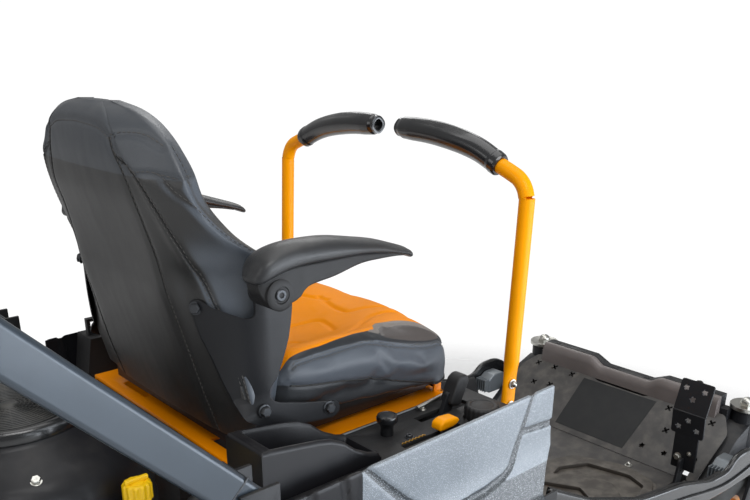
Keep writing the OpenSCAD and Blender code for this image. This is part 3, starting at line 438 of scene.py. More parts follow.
def finish(name, colour, rough=0.5, metal=0.0, coat=0.0, coat_rough=0.12, tint=0.12, grain=(900, 0.00004),
           wave=(0, 0), blotch=0.06, fleck=None, dust=0.05, stretch=(1, 1, 1), leather=0, brushed=0, zones=(),
           shine=0.5, matte=None):
    """A finish. colour is an sRGB code. tint is how far the colour drifts and blotch the roughness. grain and
    wave are (scale, height) of fine and broad relief. fleck is (code, scale, share). dust lightens what faces
    up. leather adds pebbled cells of that scale and brushed adds fine lines along X. zones are (attribute,
    code): the colour changes where the attribute, a signed distance in mm, is above 0. matte names the zone
    without coat. shine is the specular level."""
    made = bpy.data.materials.new(name)
    made.use_nodes = True
    tree = made.node_tree
    shader = tree.nodes["Principled BSDF"]
    low, high = 0.3, 0.7  # the middle range of the noise, over which the colour drifts
    p = Socket(tree, tree.nodes.new("ShaderNodeTexCoord").outputs["Object"])
    base = hexed(colour)
    drift = p.noise(9, 4)
    shade = drift.ramp(low, high).mix([x * (1 - tint) for x in base], [min(1, x * (1 + tint)) for x in base])
    for attribute, code in zones:
        inside = p.node("ShaderNodeAttribute", out=2, settings={"attribute_name": attribute})
        tone = drift.ramp(low, high).mix([x * (1 - tint / 2) for x in hexed(code)],
                                         [x * (1 + tint / 2) for x in hexed(code)])
        shade = inside.ramp(-BORDER, BORDER).mix(shade, tone)
    if fleck:
        spots = p.cells(fleck[1])
        shade = (1 - spots.ramp(fleck[2], fleck[2] + 0.1)).mix(shade, hexed(fleck[0]))
    if dust:
        facing = Socket(tree, tree.nodes.new("ShaderNodeNewGeometry").outputs["Normal"])
        up = facing.node("ShaderNodeSeparateXYZ", out=2, Vector=facing)
        shade = (up.ramp(0.2, 1.0) * p.noise(35, 5).ramp(0.35, 0.75) * dust).mix(shade, hexed(DUST))
    rough_map = rough + (p.noise(60, 5, stretch=stretch) - 0.5) * (2 * blotch)
    height = p.noise(grain[0], 3, stretch=stretch).relief(grain[1])
    if brushed:
        height = p.noise(1, 2, stretch=(60, brushed, brushed)).relief(0.00003, height)
    if leather:
        height = p.cells(leather, "SMOOTH_F1").relief(0.00022, height)
    if wave[1]:
        height = p.noise(wave[0], 2, stretch=stretch).relief(wave[1], height)
    for key, value in (("Base Color", shade), ("Roughness", rough_map), ("Normal", height)):
        tree.links.new(value.socket, shader.inputs[key])
    shader.inputs["Metallic"].default_value = metal
    shader.inputs["Coat Weight"].default_value = coat
    if matte:
        inside = p.node("ShaderNodeAttribute", out=2, settings={"attribute_name": matte})
        tree.links.new(((1 - inside.ramp(-BORDER, BORDER)) * coat).socket, shader.inputs["Coat Weight"])
    shader.inputs["Coat Roughness"].default_value = coat_rough
    shader.inputs["Specular IOR Level"].default_value = shine
    return made


print("dust colour:", [round(x, 3) for x in hexed(DUST)])

# %% [markdown]
# ## The finishes
# Powder coat is even with a slight ripple, moulded plastic is grained, vinyl is pebbled under a soft sheen,
# and rubber is dull and dusty. Picture textures could show that, but they need UV maps. Noise on object
# coordinates covers every piece without them, so one recipe serves all. The two seat covers and the fender
# panels also change colour at a border, which their meshes carry as a signed distance. On the sides of the
# seat covers that colour is painted sheen: a lighter blue-grey standing in for light reflected there.

# %% The finishes
# The side zone is painted sheen: a lighter blue-grey on the seat back's sides for light reflected there.
VINYL = finish("seat_vinyl_dark", "262626", 0.46, coat=0.22, coat_rough=0.36, zones=[("side", "4a5058")],
               grain=(2600, 0.00003), wave=(16, 0.0025), leather=900, dust=0.03, stretch=(1, 1, 0.35))
# Its side zone on the skirt is painted sheen, a lighter blue-grey; pad, grey and orange are the cover's own
# colours.
VINYL_ZONED = finish("seat_vinyl_cushion", "2b2d30", 0.42, coat=0.5, coat_rough=0.42, matte="orange",
                     tint=0.1, grain=(2600, 0.00003), wave=(14, 0.002), leather=900, dust=0,
                     zones=[("side", "4b5057"), ("pad", "4b4644"), ("grey", "77716c"), ("orange", "ea8a00")],
                     shine=0.06)
THREAD = finish("stitch_thread", "4f4d4b", 0.7, dust=0)
ARMREST = finish("armrest_foam", "242527", 0.42, coat=0.1, grain=(3000, 0.00006), leather=1300, dust=0.03)
ORANGE = finish("orange_powder_coat", "ee8c00", 0.36, coat=0.08, tint=0.05, grain=(1500, 0.00003),
                wave=(240, 0.00006), dust=0, shine=0.1)
BLACK = finish("black_powder_coat", "1d1e21", 0.46, coat=0.04, grain=(1400, 0.00005), wave=(260, 0.0001),
               shine=0.28)
GLOSS = finish("black_gloss_plastic", "141517", 0.26, coat=0.3, grain=(500, 0.00001), dust=0.02, blotch=0.03)
SHROUD = finish("black_shroud_plastic", "17171a", 0.42, coat=0.05, grain=(1800, 0.00003), dust=0.02,
                shine=0.3)
PLASTIC = finish("grained_plastic", "252526", 0.52, grain=(2200, 0.0001), dust=0.015, shine=0.3)
# The zone named smooth is a darker grey in the channels and on the panel's lower part.
PANEL = finish("speckled_panel", "757c83", 0.4, coat=0.1, tint=0.08, grain=(1800, 0.00012),
               fleck=("b6bdc3", 620, 0.2), dust=0.05, zones=[("smooth", "3a3e42")])
BEAM = finish("grey_metallic_paint", "343d46", 0.32, metal=0.35, coat=0.3, tint=0.08, grain=(1500, 0.00003),
              wave=(30, 0.0002), dust=0.03)
PAN = finish("dark_pan_paint", "393736", 0.42, coat=0.15, tint=0.14, grain=(1300, 0.00006),
             wave=(180, 0.0001), dust=0.12)
TREAD_PAD = finish("floor_mat_rubber", "3d3833", 0.55, grain=(1500, 0.0001), dust=0.14)
LABEL = finish("blank_label", "1e1f20", 0.46, tint=0.05, grain=(900, 0.00002), dust=0.01, shine=0.3)
# The crown's lighter paint is a painted highlight: a lit copy of the board's dark paint.
CROWN_HIGHLIGHT = finish("crown_paint", "67605e", 0.42, coat=0.15, tint=0.12, grain=(1300, 0.00006), dust=0.05)
# A pale strip colour that paints the highlight on the console's inner edge.
EDGE_HIGHLIGHT = finish("worn_edge", "8b8f92", 0.4, metal=0.4, dust=0)
PALE_LABEL = finish("blank_pale_label", "b9b7ae", 0.5, tint=0.05, dust=0.02)
GRIP = finish("grip_moulding", "1d1e20", 0.24, coat=0.4, grain=(900, 0.00002), dust=0.02)
ZINC = finish("zinc_plate", "c3c2bc", 0.3, metal=1.0, tint=0.1, grain=(1200, 0.00002), dust=0)
STEEL = finish("ground_steel", "9a9b9c", 0.34, metal=1.0, brushed=900, dust=0)
DARK_STEEL = finish("dark_steel", "4b4d50", 0.45, metal=0.8, grain=(900, 0.00006), dust=0.05)
CAST = finish("cast_housing", "7c8287", 0.48, metal=0.6, grain=(600, 0.00018), dust=0.08)
CAST_DARK = finish("painted_casting", "3c3f42", 0.5, metal=0.3, grain=(500, 0.0002), dust=0.1)
BRASS = finish("brass_spring", "b58a3c", 0.32, metal=1.0, dust=0)
TYRE = finish("tyre_rubber", "1c1c1b", 0.72, tint=0.15, grain=(900, 0.00012), dust=0.16)
RUBBER = finish("black_rubber", "181818", 0.6, grain=(1200, 0.00006), dust=0.06)
LEVER_PAINT = finish("lever_powder_coat", "f39c00", 0.4, coat=0.06, tint=0.05, grain=(1500, 0.00003),
                     wave=(240, 0.00006), dust=0, shine=0.1)
YELLOW = finish("yellow_cap_plastic", "efc107", 0.4, tint=0.06, dust=0)
RIM = finish("wheel_enamel", "d98a12", 0.36, coat=0.3, tint=0.06, grain=(1500, 0.00003), dust=0.06)
LENS = finish("light_lens", "d5dadd", 0.12, coat=0.6, tint=0.04, dust=0)
SCREEN = finish("screen_plastic", "2a2b2b", 0.42, grain=(1500, 0.00004), dust=0.1)
BELT = finish("belt_rubber", "171717", 0.66, grain=(1400, 0.00005), dust=0.1)
print("finishes:", len(bpy.data.materials))

# %% [markdown]
# ## Carried-over nodes
# Frame, deck, consoles and drives keep the packed part's own shape. A weld joins its loose triangles again,
# and a narrow bevel rounds the edges, because a perfectly sharp edge never catches light as a real one
# does.

# %% Paint and soften
CARRIED = {BLACK: ["main_frame", "rear_guard", "deck_shell", "left_caster_fork", "right_caster_fork",
                   "left_lever_base", "right_lever_base", "seat_base"], PAN: ["floor_pan"],
           PLASTIC: ["left_console", "right_console", "battery", "air_cleaner"], ORANGE: ["seat_platform"],
           RUBBER: ["fuel_tank", "left_roller", "right_roller"], CAST_DARK: ["transaxles", "engine_block"],
           CAST: ["engine_fan", "spindle_housings"], DARK_STEEL: ["muffler", "clutch_pulley"],
           STEEL: ["left_blade", "centre_blade", "right_blade"], BELT: ["deck_belt"],
           SHROUD: ["belt_covers", "discharge_chute"]}
BEVELS = {"left_console": 2.0, "right_console": 2.0, "battery": 4.0, "air_cleaner": 9.0, "fuel_tank": 6.0,
          "transaxles": 4.0, "seat_platform": 1.2, "main_frame": 1.6, "discharge_chute": 2.5,
          "belt_covers": 2.0, "deck_shell": 5.0}


def soften(node, width):
    """Weld and a two-step bevel on a CAD node, whose own mesh isn't touched."""
    weld = node.modifiers.new("weld", "WELD")
    weld.merge_threshold = 0.00002
    edge = node.modifiers.new("edge", "BEVEL")
    edge.width, edge.segments, edge.limit_method = width * MM, 2, "ANGLE"
    edge.angle_limit, edge.harden_normals = math.radians(40), True
    edge.use_clamp_overlap = True


for material, names in CARRIED.items():
    for name in names:
        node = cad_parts[name]
        node.data.materials.clear()
        node.data.materials.append(material)
        node.data.shade_smooth()
        soften(node, BEVELS.get(name, 0.8))
print("carried over:", sum(len(v) for v in CARRIED.values()))

# %% [markdown]
# ## Upholstery
# A sewn cover shows each seam as a soft groove, with stitches beside it and piping or a welt on it. It
# could be sculpted, but a groove is only a depth that fades with the distance from a line. So one line,
# moved onto the surface, gives the groove, the thread and the piping alike.

# %% Tools for upholstery
def nearest(points, path):
    """Distance of every point to the nearest sample of a path."""
    out = np.full(len(points), 1e9)
    for q in path:
        out = np.minimum(out, ((points - q) ** 2).sum(1))
    return np.sqrt(out)


def normals_of(points, faces):
    """Area-weighted vertex normals of a quad mesh."""
    f = np.array([face for face in faces if len(face) == 4])
    n = np.cross(points[f[:, 2]] - points[f[:, 0]], points[f[:, 3]] - points[f[:, 1]])
    out = np.zeros_like(points)
    for k in range(4):
        np.add.at(out, f[:, k], n)
    return out / np.maximum(np.linalg.norm(out, axis=1), 1e-9)[:, None]


def snapped(tree, path, lift=0.0):
    """A path moved onto the surface in tree, then lifted off it. Also gives the normals there."""
    spots, up = [], []
    for q in path:
        where, normal, _, _ = tree.find_nearest(Vector(q))
        spots.append(np.array(where) + lift * np.array(normal))
        up.append(np.array(normal))
    return np.array(spots), np.array(up)


def grooved(shape, seams, depth=2.2, width=4.5):
    """Presses a groove along each seam: depth times exp(-(distance / width)^2), inwards."""
    points, faces = shape
    push = np.zeros(len(points))
    for seam in seams:
        push = np.maximum(push, depth * np.exp(-((nearest(points, seam) / width) ** 2)))
    return points - normals_of(points, faces) * push[:, None], faces


print("groove tools ready")

# %% [markdown]
# ## Thread and marks
# Each stitch is a short bent tube of a few faces that lies on the cover beside its seam. A mark is a value
# on every point, which the finish reads to change colour.

# %% Thread and marks
def stitches(tree, path, length=4.2, space=2.8, thick=0.55, side=2.6):
    """Dashes of thread along a path on the surface, set side mm off to its side."""
    count = max(8, int(np.linalg.norm(np.diff(path, axis=0), axis=1).sum() / (length + space)) * 4)
    spots, up = snapped(tree, curve(path, count))
    along = np.gradient(spots, axis=0)
    along /= np.linalg.norm(along, axis=1)[:, None]
    spots, up = snapped(tree, spots + side * np.cross(up, along), 0.25)
    shapes = []
    for k in range(0, count - 3, 4):
        a, b = spots[k], spots[k] + (spots[k + 2] - spots[k]) * 1.15
        shapes.append(tube([a, (a + b) / 2 + up[k] * 0.25, b], thick, count=5))
    return joined(*shapes)


def two_sided(paths):
    """The paths and their mirror images on the other side of the centre plane."""
    return paths + [p * [1, -1, 1] for p in paths]


def marked(piece, name, values):
    """Puts one value per point onto a piece's mesh, for its finish to read."""
    layer = piece.data.attributes.new(name, "FLOAT", "POINT")
    layer.data.foreach_set("value", np.asarray(values, np.float32))


def tree_of(shape):
    """A search tree over a shape's faces, for the nearest place on it."""
    return BVHTree.FromPolygons([tuple(p) for p in shape[0]], shape[1])


print("upholstery tools ready")

# %% [markdown]
# ## Seat back
# The back is firm foam under vinyl, with a headrest, side bolsters and a seamed rear. A cloth simulation
# would round its edges off, so it is a loft. Each level of its table has a rear seam, a side corner, a
# front corner, a bolster ridge and a centre line, and a closed curve runs through them.

# %% Seat back surface
LEVELS = np.array([
    # z, rear x, rear half-width, side x, side y, front x, front y, ridge x, ridge y, centre x
    [712, -456, 147, -444, 222, -430, 222, -414, 190, -424],
    [745, -466, 147, -450, 228, -430, 231, -412, 190, -424],
    [780, -476, 146, -458, 229, -428, 235, -404, 188, -424],
    [850, -493, 140, -466, 212, -403, 237, -390, 186, -428],
    [910, -508, 135, -474, 192, -394, 237, -391, 184, -438],
    [940, -513, 132, -482, 187, -400, 236, -404, 184, -442],
    [968, -518, 130, -498, 184, -425, 234, -424, 182, -447],
    [1002, -526, 126, -515, 172, -470, 224, -456, 176, -453],
    [1038, -536, 124, -529, 158, -496, 208, -478, 166, -458],
    [1071, -541, 112, -539, 140, -502, 195, -482, 150, -464],
    [1092, -544, 100, -541, 120, -504, 182, -485, 132, -470],
    [1111, -544, 92, -541, 106, -505, 164, -488, 112, -476],
    [1128, -541, 78, -537, 88, -507, 138, -492, 88, -484],
    [1140, -533, 58, -529, 64, -509, 102, -497, 60, -493],
    [1148, -521, 30, -519, 34, -511, 50, -505, 30, -504],
], float)


def back_ring(row):
    """Closed curve through one level's control points, right side first, then the left side mirrored."""
    z, xr, wr, xs, ws, xf, wf, xb, wb, xc = row
    right = [(xr - 3, 0), (xr - 2, -0.5 * wr), (xr, -0.94 * wr), (xs - 0.5 * (xs - xr) + 1.5, -(wr + ws) / 2),
             (xs, -ws), ((xs + xf) / 2, -(0.35 * ws + 0.65 * wf)), (xf - 4, -wf), (xf + 9, -(wf - 10)),
             (xb + 6, -(wb + wf - 8) / 2), (xb, -wb), ((xb + xc) / 2 - 2, -0.8 * wb), (xc, -0.45 * wb),
             (xc, 0)]
    ring = right + [(x, -y) for x, y in right[-2:0:-1]]
    ring = loop(ring, 224)
    return np.column_stack([ring, np.full(len(ring), z)])


print("levels of the back:", len(LEVELS))

# %% [markdown]
# ## Seams of the seat back
# Three long seams run down each side, and others cross the headrest. They are drawn near the surface and
# moved onto it, and the right ones are mirrored.

# %% Seams of the back
rows = curve(LEVELS, 150)
back = grid([back_ring(row) for row in rows])
rear_seam = np.array([(x, -0.97 * w, z) for z, x, w in LEVELS[:12, :3]])
side_seam = np.array([(-544, -98, 1090), (-539, -135, 1071), (-528, -157, 1035), (-514, -172, 996),
                      (-497, -182, 958), (-477, -188, 919), (-466, -212, 850), (-456, -229, 780)], float)
front_seam = np.array([(-539, -135, 1071), (-523, -165, 1071), (-516, -185, 1054), (-504, -205, 1038),
                       (-476, -222, 1007), (-438, -232, 980), (-412, -237, 940), (-398, -238, 880),
                       (-398, -238, 800)], float)
head_seam = np.array([(-523, -165, 1071), (-508, -188, 1066), (-490, -165, 1064), (-480, -100, 1072),
                      (-470, 0, 1078)], float)
crown_seam = np.array([(-544, -92, 1111), (-543, -60, 1122), (-543, 0, 1126)], float)
crown_side = np.array([(-544, -92, 1111), (-532, -120, 1116), (-520, -140, 1112), (-508, -160, 1100),
                       (-500, -176, 1085), (-494, -186, 1066)], float)
back_tree = tree_of(back)
SEAMS = [rear_seam, side_seam, front_seam, head_seam, crown_seam, crown_side]
back = grooved(back, two_sided([snapped(back_tree, curve(s, 160))[0] for s in SEAMS]))
cover = build("seat_back_cover", back, VINYL, "seat", crease=60, replaces=["seat_back"])
# Below the headrest, points that face sideways get the side zone: painted sheen, a lighter blue-grey for
# light reflected off the back's sides.
sideways = np.abs(normals_of(*back)[:, 1])
SHEEN_FROM, HEAD_Z = 0.62, 1066
marked(cover, "side", (sideways - SHEEN_FROM) * 6 * (back[0][:, 2] < HEAD_Z))
back_tree = tree_of(back)
right = [stitches(back_tree, curve(s, 60), side=side) for s, side in ((rear_seam, -3), (side_seam, 3),
                                                                      (side_seam, -3), (front_seam, 3),
                                                                      (crown_seam, 3), (crown_side, 3),
                                                                      (head_seam, 3))]
build("seat_back_stitching", both(joined(*right)), THREAD, "seat")
build("seat_back_piping", both(joined(*[tube(snapped(back_tree, curve(s, 90), 0.2)[0], 0.9, count=6)
                                         for s in (side_seam, rear_seam)])), RUBBER, "seat")
print("seat back points:", len(back[0]))

# %% [markdown]
# ## Seat cushion
# The cushion is a dished pad between two bolsters, with a welt where its top and its skirt are sewn
# together. Stations from rear to front give its section, and the skin between them is the form that the
# cloth step starts from.

# %% Cushion form
CUSHION = np.array([
    # x, half-width, bottom z, welt z, side seam z, bolster crest z, centre z
    [-409, 214, 741, 784, 800, 802, 798],
    [-396, 224, 735, 786, 806, 808, 799],
    [-378, 227, 732, 782, 818, 822, 798],
    [-340, 228, 728, 776, 819, 826, 795],
    [-300, 228, 724, 770, 820, 827, 793],
    [-262, 228, 721, 760, 819, 826, 794],
    [-225, 228, 717, 749, 813, 823, 799],
    [-190, 228, 714, 739, 800, 818, 805],
    [-155, 228, 711, 728, 789, 810, 810],
    [-122, 227, 708, 717, 781, 804, 811],
    [-92, 224, 707, 712, 778, 796, 806],
    [-72, 214, 709, 714, 770, 783, 792],
    [-61, 197, 717, 724, 758, 766, 773],
], float)


def cushion_ring(row):
    """Closed curve at one station: floor, side, seam, bolster and dished middle, and the mirrored half."""
    x, w, zb, zw, zs, zc, z0 = row
    half = [(0, zb), (0.6 * w, zb), (w - 14, zb + 2), (w - 3, zb + 0.35 * (zw - zb)), (w - 2, zw),
            (w + 3, 0.55 * zs + 0.45 * zw), (w - 1, zs - 3), (w - 12, zs + 0.5 * (zc - zs) + 3), (w - 34, zc),
            (w - 62, 0.62 * zc + 0.38 * z0), (0.52 * w, z0 + 0.12 * (zc - z0)), (0.26 * w, z0 + 1), (0, z0)]
    ring = loop([(-y, z) for y, z in half] + half[-2:0:-1], 180)
    return np.column_stack([np.full(len(ring), x), ring])


def shrunk(ring, share, dx):
    """A ring drawn towards its middle by share and shifted by dx along X, to round off a loft's end."""
    mid = ring.mean(0)
    return mid + (ring - mid) * share + [dx, 0, 0]


rows = curve(CUSHION, 70)
body = [cushion_ring(row) for row in rows]
rings = [shrunk(body[0], s, d) for s, d in ((0.2, -1.5), (0.6, -1.5), (0.9, -1), (0.97, -0.3))] + body
rings += [shrunk(body[-1], s, d) for s, d in ((0.94, 3), (0.8, 5), (0.5, 6), (0.15, 6))]
cushion = flipped(grid(rings))
print("cushion form rings:", len(rings))

# %% [markdown]
# ## Swelling
# Vinyl over foam bulges between its seams. Moving the points outwards by a formula looks inflated all over,
# so a short cloth simulation does it: the form is shrunk a little, remeshed evenly, and pushed out by
# pressure for some frames. A cap on the movement keeps the size of the real cushion.

# %% Swelling by cloth
CLOTH_FRAMES = 20
FADE = 25  # height above the floor over which the movement comes in


def swollen(name, shape, cap, floor, voxel=5.0, pressure=4.0):
    """Points and quads of a shape after remeshing, some cloth frames under pressure, a cap on the movement
    and one subdivision. Movement below the height floor is left out."""
    mesh = bpy.data.meshes.new(name)
    mesh.from_pydata((np.asarray(shape[0]) * MM).tolist(), [], shape[1])
    piece = bpy.data.objects.new(name, mesh)
    scene = bpy.context.scene
    scene.collection.objects.link(piece)
    remesh = piece.modifiers.new("remesh", "REMESH")
    remesh.mode, remesh.voxel_size = "VOXEL", voxel * MM

    def evaluated():
        """Points in mm and faces of the piece with its modifiers applied."""
        made = piece.evaluated_get(bpy.context.evaluated_depsgraph_get()).to_mesh()
        points = np.empty(len(made.vertices) * 3)
        made.vertices.foreach_get("co", points)
        return points.reshape(-1, 3) / MM, [tuple(p.vertices) for p in made.polygons]

    start, faces = evaluated()
    piece.modifiers.clear()
    piece.data = bpy.data.meshes.new(name + "_start")
    piece.data.from_pydata((start * MM).tolist(), [], faces)
    settled = start
    cloth = piece.modifiers.new("cloth", "CLOTH")
    cloth.settings.use_pressure, cloth.settings.uniform_pressure_force = True, pressure
    cloth.settings.effector_weights.gravity = 0
    cloth.settings.quality = 4
    for k in range(1, CLOTH_FRAMES + 1):
        scene.frame_set(k)
    settled = evaluated()[0]
    scene.frame_set(1)
    step = settled - start
    length = np.linalg.norm(step, axis=1)
    step *= (np.minimum(length, cap) / np.maximum(length, 1e-6))[:, None]
    step *= np.clip((start[:, 2] - floor) / FADE, 0, 1)[:, None]
    piece.modifiers.clear()
    piece.data = bpy.data.meshes.new(name + "_end")
    piece.data.from_pydata(((start + step) * MM).tolist(), [], faces)
    smooth = piece.modifiers.new("smooth", "SMOOTH")
    smooth.factor, smooth.iterations = 0.5, 3
    piece.modifiers.new("finer", "SUBSURF").levels = 1
    out = evaluated()
    bpy.data.objects.remove(piece)
    print(name, "largest move", round(float(length.max()), 1), "points", len(out[0]))
    return out


def inset(shape, by):
    """The shape with its points moved inwards along their normals."""
    return shape[0] - normals_of(*shape) * by, shape[1]


cushion = swollen("cushion_form", inset(cushion, 3.0), cap=4.5, floor=726)
cushion_tree = tree_of(cushion)

# %% [markdown]
# ## Seams and sewn channels
# The seams run along the bolsters and round the front, and channels are sewn across the top. They are drawn
# in plan and dropped onto the swollen surface, as a maker would mark them, and then pressed in.

# %% Cushion seams
HALF_WIDTH, WELT_Z, SEAM_Z = 1, 3, 4  # columns of the cushion's table


def station(x, column):
    """The cushion table's value at x, straight between its rows."""
    return np.interp(x, CUSHION[:, 0], CUSHION[:, column])


along = np.linspace(-385, -72, 40)
side_y = station(along, HALF_WIDTH)
top_seam = np.column_stack([along, -side_y, station(along, SEAM_Z)])
front_arc = np.array([(-63, -196, 764), (-57, -150, 771), (-56, -80, 777), (-56, 0, 780)], float)
top_seam = np.vstack([top_seam, front_arc])
welt = np.column_stack([along, -side_y, station(along, WELT_Z)])
welt = np.vstack([welt, np.array([(-59, -190, 722), (-53, -120, 724), (-53, 0, 724)], float)])
orange_edge = np.array([(-384, -208), (-330, -211), (-285, -209), (-240, -204), (-212, -195), (-200, -178),
                        (-182, -164), (-146, -165), (-108, -176), (-80, -190)], float)
pad_edge = np.array([(-205, -203), (-196, -188), (-180, -178), (-150, -178), (-114, -188), (-92, -200),
                     (-86, -208)], float)
channels = [
    [(-352, -171), (-292, -172), (-242, -170), (-205, -150), (-160, -128), (-100, -126)],
    [(-154, 11), (-166, -31), (-171, -60), (-166, -82), (-130, -92), (-92, -100)],
    [(-322, -30), (-227, -60), (-218, -90), (-228, -120)], [(-330, -100), (-300, -112), (-296, -130)],
    [(-352, -171), (-380, -120), (-384, 0)],
]


def on_top(path, height=870):
    """Plan points dropped onto the cushion's top."""
    out = []
    for x, y in path:
        hit = cushion_tree.ray_cast(Vector((x, y, height)), Vector((0, 0, -1)))[0]
        if hit is not None:
            out.append(np.array(hit))
    return np.array(out)


top_seam = snapped(cushion_tree, curve(top_seam, 200))[0]
welt = snapped(cushion_tree, curve(welt, 200))[0]
channel_lines = two_sided([on_top(curve(np.array(c, float), 90)) for c in channels])
pad_line = on_top(curve(pad_edge, 70))
cushion = grooved(cushion, two_sided([top_seam]), 2.6, 3.6)
cushion = grooved(cushion, two_sided([welt]), 2.0, 3.0)
cushion = grooved(cushion, channel_lines, 3.0, 4.5)
cushion = grooved(cushion, two_sided([pad_line]), 2.2, 3.5)
cushion_tree = tree_of(cushion)
print("sewn lines on the cushion:", len(channel_lines) + 6)

# %% [markdown]
# ## Colours of the cushion
# The cover is sewn from dark, grey and orange vinyl. A picture or split meshes could show that, but a
# signed distance to each border, kept on the points, gives a crisp line at any size and leaves the cover
# one piece. The skirt between the top seam and the welt is painted sheen: a lighter blue-grey that stands in
# for light reflected off it.

# %% Cushion colours
def signed(points, edge):
    """Signed distance in plan to a line running front to back, and to its mirror image. It is positive nearer
    the centre plane than the line."""
    x, y = points[:, 0], np.abs(points[:, 1])
    limit = np.interp(x, edge[:, 0], -edge[:, 1])
    return limit - y


p = cushion[0]
height = p[:, 2] - station(p[:, 0], SEAM_Z)
orange = np.minimum(signed(p, orange_edge), (p[:, 2] - 752))
grey = np.minimum.reduce([218 - np.abs(p[:, 1]), height - 7, p[:, 0] + 228])
dark = np.minimum(-signed(p, pad_edge), p[:, 0] + 204)
cushion_piece = build("seat_cushion_cover", cushion, VINYL_ZONED, "seat", crease=75,
                      replaces=["seat_cushion"])
marked(cushion_piece, "orange", orange)
marked(cushion_piece, "pad", np.minimum(dark, height - 4))
# The skirt between top seam and welt gets the side zone: painted sheen, for light reflected off it.
marked(cushion_piece, "side", np.minimum(-height - 1, p[:, 2] - station(p[:, 0], WELT_Z) - 1))
marked(cushion_piece, "grey", np.minimum(grey, -dark))
thread = [stitches(cushion_tree, top_seam, side=s, length=3.2, space=2.0, thick=0.5) for s in (3.2, -3.0)]
build("seat_cushion_stitching", both(joined(*thread)), THREAD, "seat")
build("seat_cushion_welt", both(tube(snapped(cushion_tree, curve(welt, 120), 0.6)[0], 1.3, count=7)), RUBBER,
      "seat")
print("cushion points:", len(cushion[0]))

# %% [markdown]
# ## Armrests
# An armrest is a soft pad on a hard moulding, which turns on a boss at its rear end. Both are lofts along
# X. The pad's sections are closed curves and the moulding's are rounded boxes, and they narrow and drop
# towards the front.

# %% Armrests
ARM = np.array([
    # x, inner y, outer y, pad bottom, pad side, pad top
    [-470, 252, 280, 953, 961, 964], [-464, 246, 288, 954, 971, 977], [-452, 243, 292, 959, 979, 987],
    [-430, 242, 293, 965, 984, 994], [-398, 242, 293, 968, 985, 996], [-352, 236, 286, 965, 981, 992],
    [-300, 226, 276, 961, 972, 981], [-255, 215, 264, 953, 963, 970], [-215, 205, 252, 944, 950, 957],
    [-186, 199, 241, 935, 942, 947], [-172, 202, 234, 929, 937, 941], [-166, 205, 229, 927, 933, 937],
], float)
BODY = np.array([
    # x, inner y, outer y, bottom, top
    [-464, 252, 276, 944, 958], [-456, 246, 280, 929, 964], [-436, 243, 284, 921, 967],
    [-412, 243, 286, 926, 968], [-396, 243, 286, 939, 968], [-350, 240, 281, 943, 966],
    [-300, 230, 271, 948, 962], [-255, 219, 259, 945, 954], [-215, 209, 246, 940, 945],
    [-190, 205, 236, 935, 939],
], float)


def pad_ring(row):
    """Closed curve at one station of the pad: flat below, full sides, and a crowned top."""
    x, a, b, low, side, top = row
    m = (a + b) / 2
    pts = [(-a - 5, low), (-m, low - 0.5), (-b + 5, low), (-b, 0.5 * (low + side)),
           (-b + 2.5, side + 0.2 * (top - side)), (-b + 12, top - 0.22 * (top - side)), (-m, top),
           (-a - 12, top - 0.22 * (top - side)), (-a - 2.5, side + 0.2 * (top - side)),
           (-a, 0.5 * (low + side))]
    ring = loop(pts, 56)
    return np.column_stack([np.full(len(ring), x), ring])


def body_ring(row):
    """Rounded rectangle at one station of the moulding."""
    x, a, b, low, top = row
    r = min(4.0, 0.35 * (top - low))
    pts = softened([(-a, low), (-b, low), (-b, top), (-a, top)], r, 5)
    return np.column_stack([np.full(len(pts), x), pts])


rings = [pad_ring(row) for row in curve(ARM, 60)]
rings = [shrunk(rings[0], s, d) for s, d in ((0.3, -2), (0.8, -1))] + rings + [shrunk(rings[-1], 0.4, 1)]
pad = grid(rings)
arm_body = grid([body_ring(row) for row in curve(BODY, 40)])
groove = np.column_stack([ARM[:, 0], -ARM[:, 2] + 2, ARM[:, 4] + 1])[1:-1]
pad = grooved(pad, [curve(groove, 90)], -0.9, 3)
boss = joined(lathe([(0, 0), (17, 0), (20, 2), (20, 44), (17, 46), (11, 46), (10, 44), (10, 39), (0, 39)],
                    (-437, -240, 936), (0, -1, 0), 40))
arm_bolt = bolt((-437, -279, 936), (0, -1, 0), 17, "socket")
for side, flip in (("right", lambda s: s), ("left", mirrored)):
    made = build(side + "_armrest_pad", flip(pad), ARMREST, side + "_armrest", crease=70,
                 replaces=[side + "_armrest"])
    build(side + "_armrest_body", flip(joined(arm_body, boss)), PLASTIC, side + "_armrest")
    build(side + "_armrest_bolt", flip(arm_bolt), DARK_STEEL, side + "_armrest")
print("armrest length:", np.ptp(pad[0][:, 0]).round(1))

# %% [markdown]
# ## Seat brackets
# The brackets are cut from plate and bent in at their rear top, where a bolt holds the seat back. The plate
# is drawn flat, sliced across so that it has edges to bend along, and then moved inwards more and more
# towards the rear.

# %% Seat brackets
FLAT = np.array([(-537, 934), (-531, 940), (-522, 938), (-505, 924), (-478, 909), (-458, 899), (-448, 900),
                 (-446, 905), (-446, 930), (-440, 946), (-420, 952), (-402, 944), (-392, 924), (-390, 905),
                 (-393, 884), (-398, 860), (-407, 836), (-418, 811), (-428, 802), (-431, 793), (-428, 783),
                 (-418, 776), (-373, 763), (-326, 752), (-318, 749), (-314, 742), (-316, 733), (-325, 727),
                 (-400, 736), (-445, 748), (-470, 764), (-484, 791), (-496, 818), (-510, 856), (-525, 892)],
                float)


